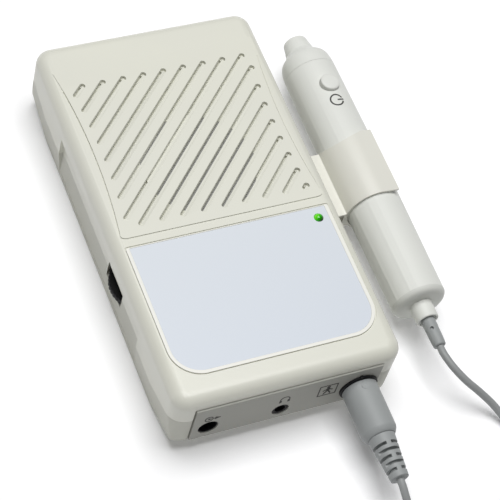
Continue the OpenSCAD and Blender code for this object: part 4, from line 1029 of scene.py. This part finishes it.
wheel = turned("volume_wheel_disc", "Z", (*WHEEL, 0), [
    (WHEEL_LOW, WHEEL_BORE), (WHEEL_LOW, WHEEL_R - WHEEL_EDGE),
    (WHEEL_LOW + WHEEL_EDGE, WHEEL_R), (WHEEL_TOP - WHEEL_EDGE, WHEEL_R),
    (WHEEL_TOP, WHEEL_R - WHEEL_EDGE), (WHEEL_TOP, WHEEL_BORE)], 160, bored=True)
groove = turned("groove", "Z", (WHEEL[0] + WHEEL_R + 0.1, WHEEL[1], 0),
                [(WHEEL_LOW - 1, 0.4), (WHEEL_TOP + 1, 0.4)], 12)
choose(groove, "FACE")
bpy.ops.mesh.spin(steps=KNURLS - 1, dupli=True, angle=2 * math.pi * (KNURLS - 1) / KNURLS,
                  center=Vector((*WHEEL, 0)) * MM, axis=(0, 0, 1))
combine(wheel, close(groove))
soften(wheel, 0.06, segments=1)
done(wheel, black_plastic, "wheel", "dark_rubber", "volume_wheel")
print("wheel", len(wheel.data.polygons), "faces")

# %% [markdown]
# The clip is one springy moulding: a foot in the right recess, a low neck and an open ring.
# The ring is made by spinning a small rectangle round the probe's axis. Its upper end face is
# then extruded straight on, which makes the lip that guides the probe in. The corner between
# neck and ring is filled out, and a cylinder from the far side hollows the ring's far end.
# The neck is a shell like the rest, so its near part is hollow under its top.

# %% Probe clip
PROBE = (56.6, 14.0)
PROBE_AXIS = (PROBE[0], 0, PROBE[1])
CLIP_Y = (-10, 15)
CLIP_IN, CLIP_OUT, NECK_TOP = 9.7, 10.5, 15
MOUTH_FROM, MOUTH_TO = -40, 80
LIP = (4.8, -0.555)
FAR_CUT_R, FAR_CUT_TURN = 17.4, 90 - 125

clip = spun("probe_clip_ring", (CLIP_IN, CLIP_OUT), CLIP_Y, 360 - (MOUTH_TO - MOUTH_FROM), 72)
move(clip, (0, -math.radians(MOUTH_TO), 0), PROBE_AXIS)
choose(clip, "FACE", lambda c, n: n.x > 0.9 and c.z > PROBE[1])
bpy.ops.mesh.extrude_region_move(TRANSFORM_OT_translate={"value": (LIP[0] * MM, 0, LIP[1] * MM)})
close(clip)
lip_end = max(v.co.x for v in clip.data.vertices) / MM
bevel(clip, lambda a, b: min(a.x, b.x) > lip_end - 0.5 and max(a.y, b.y) < CLIP_Y[0] + 0.1,
      1.7, 8)
neck = box("neck", (38.3, 52), CLIP_Y, (8, NECK_TOP))
drill(neck, "Y", PROBE_AXIS, -30, 30, 10.1, 128)
combine(clip, neck, "UNION")
corner = PROBE[0] - math.sqrt(CLIP_OUT ** 2 - (NECK_TOP - PROBE[1]) ** 2)
found = bevel(clip, lambda a, b: abs(a.y - b.y) > 1 and all(
    abs(p.x - corner) < 0.1 and abs(p.z - NECK_TOP) < 0.05 for p in (a, b)), 0.9, 5)
combine(clip, box("foot", (36.85, 38.35), (-38.3, 37.3), (3.3, 17.2)), "UNION")
far_cut = turned("far_cut", "Z", (0, 0, 0), [(0, FAR_CUT_R), (40, FAR_CUT_R)], 180)
move(far_cut, (0, math.radians(FAR_CUT_TURN), 0),
     (PROBE[0], CLIP_Y[1] - 2 + FAR_CUT_R, PROBE[1]))
combine(clip, far_cut)
combine(clip, box("core", (39.3, 45.4), (CLIP_Y[0] - 1, CLIP_Y[0] + 14), (8.7, 14.2)))
soften(clip, 0.22, segments=3)
done(clip, clip_plastic, "unit", "clip", "probe_clip")
print("clip", len(clip.data.polygons), "faces,", found, "edge filled out beside the neck")

# %% [markdown]
# The probe is a stack of turned pieces on one axis. The barrel swells very slightly towards
# its middle, so its outline is a smooth curve through a few radii. The nose rounds off and
# hollows out into the cone of the tip that is held against the skin.

# %% Probe barrel, nose and tip
BARREL_LOW, BARREL_HIGH, IN_R = -46.5, 47.5, 7.9
BUTTON_PLACE = (PROBE[0], 36.8, PROBE[1])
BUTTON_TILT = math.radians(4)


def tilt(piece, angle=BUTTON_TILT):
    """Turns a piece made on the top of the probe round its axis, to the button's tilt if no
    other angle is given."""
    move(piece, place=(-PROBE[0], 0, -PROBE[1]))
    return move(piece, (0, angle, 0), PROBE_AXIS)


barrel = turned("probe_barrel_tube", "Y", PROBE_AXIS, smooth_line([
    (BARREL_LOW, 9.2), (-16, 9.48), (-4, 9.5), (8, 9.5), (20, 9.48), (BARREL_HIGH, 9.2)], 4)
    + [(BARREL_HIGH, IN_R), (BARREL_LOW, IN_R)], 128, bored=True)
combine(barrel, tilt(turned("button_hole", "Z", BUTTON_PLACE, [(2, 3.4), (12, 3.4)], 64)))
soften(barrel, 0.04)
done(barrel, probe_plastic, "probe", "probe_shell", "probe_barrel")

NOSE_LOW, NOSE_Y = 47.58, 57.0
TIP_LOW, TIP_Y, TIP_R, TIP_BORE = 54.02, 62.4, 4.45, 3.25
nose = turned("probe_nose_cap", "Y", PROBE_AXIS, smooth_line([
    (NOSE_LOW, 9.2), (50.2, 9.05), (52.0, 8.75), (53.3, 8.25), (54.1, 7.6), (54.8, 6.85),
    (55.5, 6.2), (56.3, 5.62), (NOSE_Y, 5.27)], 4) + [
    (NOSE_Y, TIP_R - 0.6), (54.2, TIP_R - 0.6), (50.3, 6.8 - 1), (NOSE_LOW, 6.45),
    (NOSE_LOW - 3, 6.45), (NOSE_LOW - 3, 7.85), (NOSE_LOW, 7.85)], 128, bored=True)
soften(nose, 0.04)
done(nose, probe_plastic, "probe", "probe_shell", "probe_nose")
tip = turned("probe_tip_tube", "Y", PROBE_AXIS, [
    (TIP_LOW, TIP_BORE), (TIP_LOW, 3.8), (57.02, 3.8), (57.02, TIP_R + 0.7),
    (58.0, TIP_R + 0.55), (62.0, TIP_R - 0.24), (62.25, TIP_R - 0.34), (TIP_Y, TIP_R - 0.55),
    (TIP_Y, TIP_BORE)], 96, bored=True)
soften(tip, 0.1)
done(tip, probe_plastic, "probe", "probe_shell", "probe_tip")
lens = turned("probe_lens_face", "Y", PROBE_AXIS, [
    (61.4, 3.2), (62.1, 3.2), (62.2, 2.8), (62.24, 1.6)], 64)
smooth(lens)
done(lens, lens_epoxy, "probe", "lens", "probe_lens")
print("barrel", len(barrel.data.polygons), "faces, nose", len(nose.data.polygons))

# %% [markdown]
# The push button is a low dome, part of a wide ball, and is held in by a flange inside the
# barrel. The tail cap closes the other end in a duller plastic, a shade darker, which is
# painted shade for its end face, and the collar and the grey bush on it carry the cord out.
# Two small vents are sunk in the bush.

# %% Probe button, tail cap, collar and bush
BUTTON_TOP, DOME_R, FLANGE_R = 9.5 + 1.3, 24, 3.8
flange_low = math.sqrt(IN_R ** 2 - FLANGE_R ** 2) - 0.7
dome = [(BUTTON_TOP - DOME_R + math.sqrt(DOME_R ** 2 - r * r), r)
        for r in (2.8, 2.2, 1.6, 1.0, 0.45)]
button = tilt(turned("probe_button_cap", "Z", BUTTON_PLACE, [
    (flange_low, FLANGE_R), (flange_low + 0.6, FLANGE_R), (flange_low + 0.6, 3.3),
    (BUTTON_TOP - 0.75, 3.3), (BUTTON_TOP - 0.5, 3.26), (BUTTON_TOP - 0.32, 3.1)] + dome, 72))
smooth(button, 40)
done(button, probe_plastic, "button", "probe_shell", "probe_button")

TAIL_Y, COLLAR_Y, BUSH_Y = -48.6, -54.6, -64.4
tail = turned("probe_tail", "Y", PROBE_AXIS, smooth_line([
    (-46.52, 9.2), (-46.85, 9.19), (-47.3, 9.02), (-47.85, 8.65), (-48.28, 8.05),
    (-48.52, 7.3), (TAIL_Y, 6.4)], 4) + [
    (TAIL_Y, 2.4), (TAIL_Y + 1.6, 2.4), (-46.58, 6.45), (-43.58, 6.45), (-43.58, 7.85),
    (-46.52, 7.85)], 128, bored=True)
soften(tail, 0.02)
# Its darker plastic is painted shade on the end face.
done(tail, tail_shaded_plastic, "probe", "probe_shell", "probe_tail_cap")
collar = turned("probe_tail_collar", "Y", PROBE_AXIS, [
    (COLLAR_Y + 0.6, 1.7), (COLLAR_Y + 0.6, 2.9), (COLLAR_Y + 0.1, 3.0), (COLLAR_Y, 3.15),
    (COLLAR_Y, 3.45), (COLLAR_Y + 0.12, 3.68), (COLLAR_Y + 0.4, 3.8),
    (TAIL_Y - 0.02, 3.8), (TAIL_Y - 0.02, 2.35), (TAIL_Y + 3, 2.35), (TAIL_Y + 3, 1.7)],
    64, bored=True)
smooth(collar, 40)
done(collar, probe_plastic, "probe", "probe_shell", "probe_collar")
bush = turned("probe_cord_bush", "Y", PROBE_AXIS, [
    (TAIL_Y + 3.6, 1.65), (COLLAR_Y + 0.55, 1.65), (COLLAR_Y + 0.55, 2.3), (COLLAR_Y, 2.35),
    (-62.6, 2.2), (-63.9, 2.1), (-64.25, 1.95), (BUSH_Y, 1.7)], 48)
VENT_R, VENT_Y = 0.62, -58.4
for degrees in (-22, 68):
    vent = turned("vent", "Z", (PROBE[0], VENT_Y, PROBE[1]), [(1.4, VENT_R), (3, VENT_R)], 20)
    combine(bush, tilt(vent, math.radians(degrees)))
smooth(bush, 40)
done(bush, plug_plastic, "probe", "plug_grey", "probe_bush")
print("button", len(button.data.polygons), "faces, bush", len(bush.data.polygons))

# %% [markdown]
# The plug is moulded on the cord in one grey plastic. Its shell is a plain cylinder, and the
# strain relief behind it is cut by slots from both sides, each row turned a quarter against
# the next, which makes it bend evenly. A slot is a thin ring less the webs that stay.

# %% Plug shell and strain relief
PLUG_FACE, PLUG_END, RELIEF_END = -71.45, -89.6, -104.2
shell = turned("plug_body", "Y", SOCKET_AXIS, [
    (PLUG_FACE - 12.2, 4.32), (PLUG_FACE, 4.32), (PLUG_FACE, 5.7), (PLUG_FACE - 0.12, 5.82),
    (PLUG_FACE - 0.3, 5.87), (PLUG_END + 2.4, 5.85), (PLUG_END + 1.6, 5.65),
    (PLUG_END + 0.7, 5.15), (PLUG_END + 0.2, 4.75), (PLUG_END, 4.4)], 96)
mark = turned("mark", "Z", (SOCKET[0] - 0.2, -73.6, SOCKET[1]), [
    (5.5, 0.75), (5.5, 1.2), (5.93, 1.15), (5.93, 0.8)], 40, bored=True)
combine(shell, mark, "UNION")
soften(shell, 0.1)
done(shell, plug_plastic, "plug", "plug_grey", "plug_shell")

relief = turned("plug_strain_relief", "Y", SOCKET_AXIS, smooth_line([
    (PLUG_END - 0.02, 4.4), (PLUG_END - 0.8, 4.32), (PLUG_END - 5, 3.9), (PLUG_END - 10, 3.4),
    (RELIEF_END + 0.6, 3.05), (RELIEF_END + 0.15, 2.9), (RELIEF_END, 2.6)], 3), 64)
ROWS, ROW_STEP, SLOT_L, SLOT_IN, SLOT_OUT = 5, 2.17, 1.0, 1.95, 7
for i in range(ROWS):
    y = PLUG_END - 2.9 - i * ROW_STEP
    cut = turned("slot", "Y", SOCKET_AXIS, [
        (y - SLOT_L, SLOT_IN), (y - SLOT_L, SLOT_OUT), (y, SLOT_OUT), (y, SLOT_IN)], 48,
        bored=True)
    web_x, web_z = (0.75, 8) if i % 2 == 0 else (8, 1.2)
    combine(cut, box("web", (SOCKET[0] - web_x, SOCKET[0] + web_x), (y - 3, y + 2),
                     (SOCKET[1] - web_z, SOCKET[1] + web_z)))
    combine(relief, cut)
soften(relief, 0.12)
done(relief, plug_plastic, "plug", "plug_grey", "plug_relief")
print("plug shell", len(shell.data.polygons), "faces, relief", len(relief.data.polygons))

# %% [markdown]
# Small signs are pad printed: one over the DC jack, one over the headphone jack, one beside
# the probe's socket, and the power sign on the barrel. They are plain, general signs. A print
# stands a few hundredths of a millimetre proud, so each is made of thin bars and rings.

# %% Printed signs
INK_T, INK_SUNK = 0.05, 0.02


def arc(name, x, z, radius, width, start, sweep):
    """A flat arc on the end panel. Degrees run anticlockwise from the unit's right."""
    piece = spun(name, (radius - width / 2, radius + width / 2), (-INK_T, INK_SUNK), sweep, 40)
    return move(piece, (0, -math.radians(start), 0), (x, PANEL_FACE, z))


def bar(name, x0, z0, x1, z1, width):
    """A flat bar on the end panel between two places."""
    run = math.hypot(x1 - x0, z1 - z0)
    piece = box(name, (-run / 2, run / 2), (-INK_T, INK_SUNK), (-width / 2, width / 2))
    return move(piece, (0, -math.atan2(z1 - z0, x1 - x0), 0),
                ((x0 + x1) / 2, PANEL_FACE, (z0 + z1) / 2))


def dot(name, x, z, radius):
    return turned(name, "Y", (x, PANEL_FACE, z), [(INK_SUNK, radius), (-INK_T, radius)], 24)


dc_sign = join("sign_dc", [
    arc("ring", -26.3, 17.5, 1.3, 0.42, 25, 310),
    dot("pole", -26.3, 17.5, 0.5),
    bar("wire", -26.3, 17.5, -22.6, 17.5, 0.4),
    bar("tip", -24.3, 18.1, -23.2, 17.5, 0.45),
    bar("tip", -24.3, 16.9, -23.2, 17.5, 0.45),
])
phone_sign = join("sign_headphones", [
    arc("band", -1.1, 17.7, 1.55, 0.42, -35, 250),
    bar("pad", 0.3, 17.3, 0.3, 16.0, 0.85),
    bar("pad", -2.5, 17.3, -2.5, 16.0, 0.85),
])
frame_sign = join("sign_figure", [
    bar("low", 10.4, 13.8, 16.8, 13.8, 0.42), bar("high", 10.4, 19.6, 16.8, 19.6, 0.42),
    bar("left", 10.6, 13.8, 10.6, 19.6, 0.42), bar("right", 16.6, 13.8, 16.6, 19.6, 0.42),
    dot("head", 13.6, 18.5, 0.65),
    bar("trunk", 13.6, 17.9, 13.6, 16.0, 1.1),
    bar("arm", 13.6, 17.6, 11.9, 16.5, 0.5), bar("arm", 13.6, 17.6, 15.3, 16.5, 0.5),
    bar("leg", 13.4, 16.4, 12.4, 14.5, 0.6), bar("leg", 13.8, 16.4, 14.8, 14.5, 0.6),
])
for sign in (dc_sign, phone_sign, frame_sign):
    done(smooth(sign), ink, "unit", "black_plastic")
print("signs made:", dc_sign.name, phone_sign.name, frame_sign.name)

# %% [markdown]
# The power sign is printed on the rounded barrel. It is drawn flat above the barrel, from a
# ring with a gap and a bar, and a shrinkwrap then drops every point straight down onto the
# barrel's skin.

# %% Power sign on the barrel
SIGN_X, SIGN_Y, SIGN_R, LINE = PROBE[0] + 0.45, 29.6, 2.2, 0.52
SIGN_GAP, BAR_L, BAR_X = 0.75, 2.2, 1.4
above = Vector((SIGN_X, SIGN_Y, 30)) * MM
bpy.ops.mesh.primitive_circle_add(vertices=96, radius=(SIGN_R + LINE / 2) * MM, location=above)
power_sign = settle("sign_power")
choose(power_sign, "EDGE")
bpy.ops.mesh.extrude_region_move()
k = (SIGN_R - LINE / 2) / (SIGN_R + LINE / 2)
bpy.ops.transform.resize(value=(k, k, 1), center_override=above)
close(power_sign)
delete_faces(power_sign, lambda c, n: c.x > SIGN_X and abs(c.y - SIGN_Y) < SIGN_GAP)
bpy.ops.mesh.primitive_grid_add(x_subdivisions=12, y_subdivisions=2, size=1,
                                location=above + Vector((BAR_X * MM, 0, 0)))
bpy.context.object.scale = (BAR_L * MM, LINE * MM, 1)
join("sign_power", [power_sign, settle("bar")])
wrap = power_sign.modifiers.new("lay", "SHRINKWRAP")
wrap.target = barrel
wrap.wrap_method = "PROJECT"
wrap.use_project_z = True
wrap.use_negative_direction = True
wrap.use_positive_direction = False
wrap.offset = INK_T * MM
bpy.ops.object.modifier_apply(modifier=wrap.name)
thick = power_sign.modifiers.new("thickness", "SOLIDIFY")
thick.thickness = INK_T * 1.4 * MM
thick.offset = -1
bpy.ops.object.modifier_apply(modifier=thick.name)
done(smooth(power_sign, 50), ink, "probe", "black_plastic")
low = min(v.co.z for v in power_sign.data.vertices) / MM
print("power sign lies from", round(low, 2), "mm up")

# %% [markdown]
# The screws' shape in the frame is right, cross cut and all. Each set is copied, and merged
# and softened like the back cover.

# %% Screws
for node, width in (("case_screws", 0.12), ("clip_screws", 0.1)):
    screws = frame_copy(node, f"{node}_cut", width)
    done(screws, steel, "unit", "steel", node)
    print(node, len(screws.data.polygons), "faces")

# %% [markdown]
# Inside the case, the frame's own pieces stay. They only need their finishes: green board,
# black and paper speaker, wrapped cells, brass contacts.

# %% Finishes for the inside
INSIDE = {
    "speaker_cloth": dust_cloth, "speaker_gasket": foam, "speaker_frame": black_plastic,
    "speaker_cone": cone_paper, "speaker_magnet": magnet_grey, "main_board": board_green,
    "board_components": component_plastic, "board_screws": steel, "socket_contacts": brass,
    "volume_pot": component_plastic, "battery_cells": cell_plastic, "battery_springs": steel,
    "battery_contacts": brass, "probe_crystals": brass, "probe_backing": component_plastic,
    "probe_board": board_green, "probe_switch": component_plastic, "plug_nose": steel,
    "plug_pins": brass, "coil_tie": black_plastic,
}
for node, material in INSIDE.items():
    piece = frame["nodes"][node]
    if not piece.material_slots:
        piece.data.materials.append(material)
    for slot in piece.material_slots:
        slot.material = material
print(len(INSIDE), "frame pieces finished")

# %% [markdown]
# The photograph was taken in a light tent: nearly all light comes from above and a little
# behind, so the front face is bright and the walls towards the camera are much darker. One
# large lamp overhead, a little towards the far end, does that. A dim white world fills the
# rest, and the floor glows faintly, as lit paper does. The standard view keeps white white.

# %% Floor, light and world
WHITE = (1, 1, 1, 1)
bpy.ops.mesh.primitive_plane_add(size=6, location=(0, 0, -0.0001))
floor = bpy.context.object
floor.name = "floor"
floor.data.materials.append(Recipe("floor_white").shade({
    "Base Color": (0.93, 0.93, 0.94, 1), "Roughness": 0.7,
    "Emission Color": WHITE, "Emission Strength": 0.12,
}))

bpy.ops.object.light_add(type="AREA", location=(0.0, 0.12, 1.25))
lamp = bpy.context.object
lamp.name = "overhead"
lamp.data.shape = "RECTANGLE"
lamp.data.size, lamp.data.size_y = 0.95, 0.85
lamp.data.energy = 16.8
lamp.rotation_euler = (-lamp.location).to_track_quat("-Z", "Y").to_euler()

world = bpy.data.worlds.new("studio")
bpy.context.scene.world = world
world.use_nodes = True
background = world.node_tree.nodes["Background"]
background.inputs["Color"].default_value = WHITE
background.inputs["Strength"].default_value = 0.08
bpy.context.scene.view_settings.view_transform = "Standard"
print("one lamp of", round(lamp.data.energy, 1), "W")
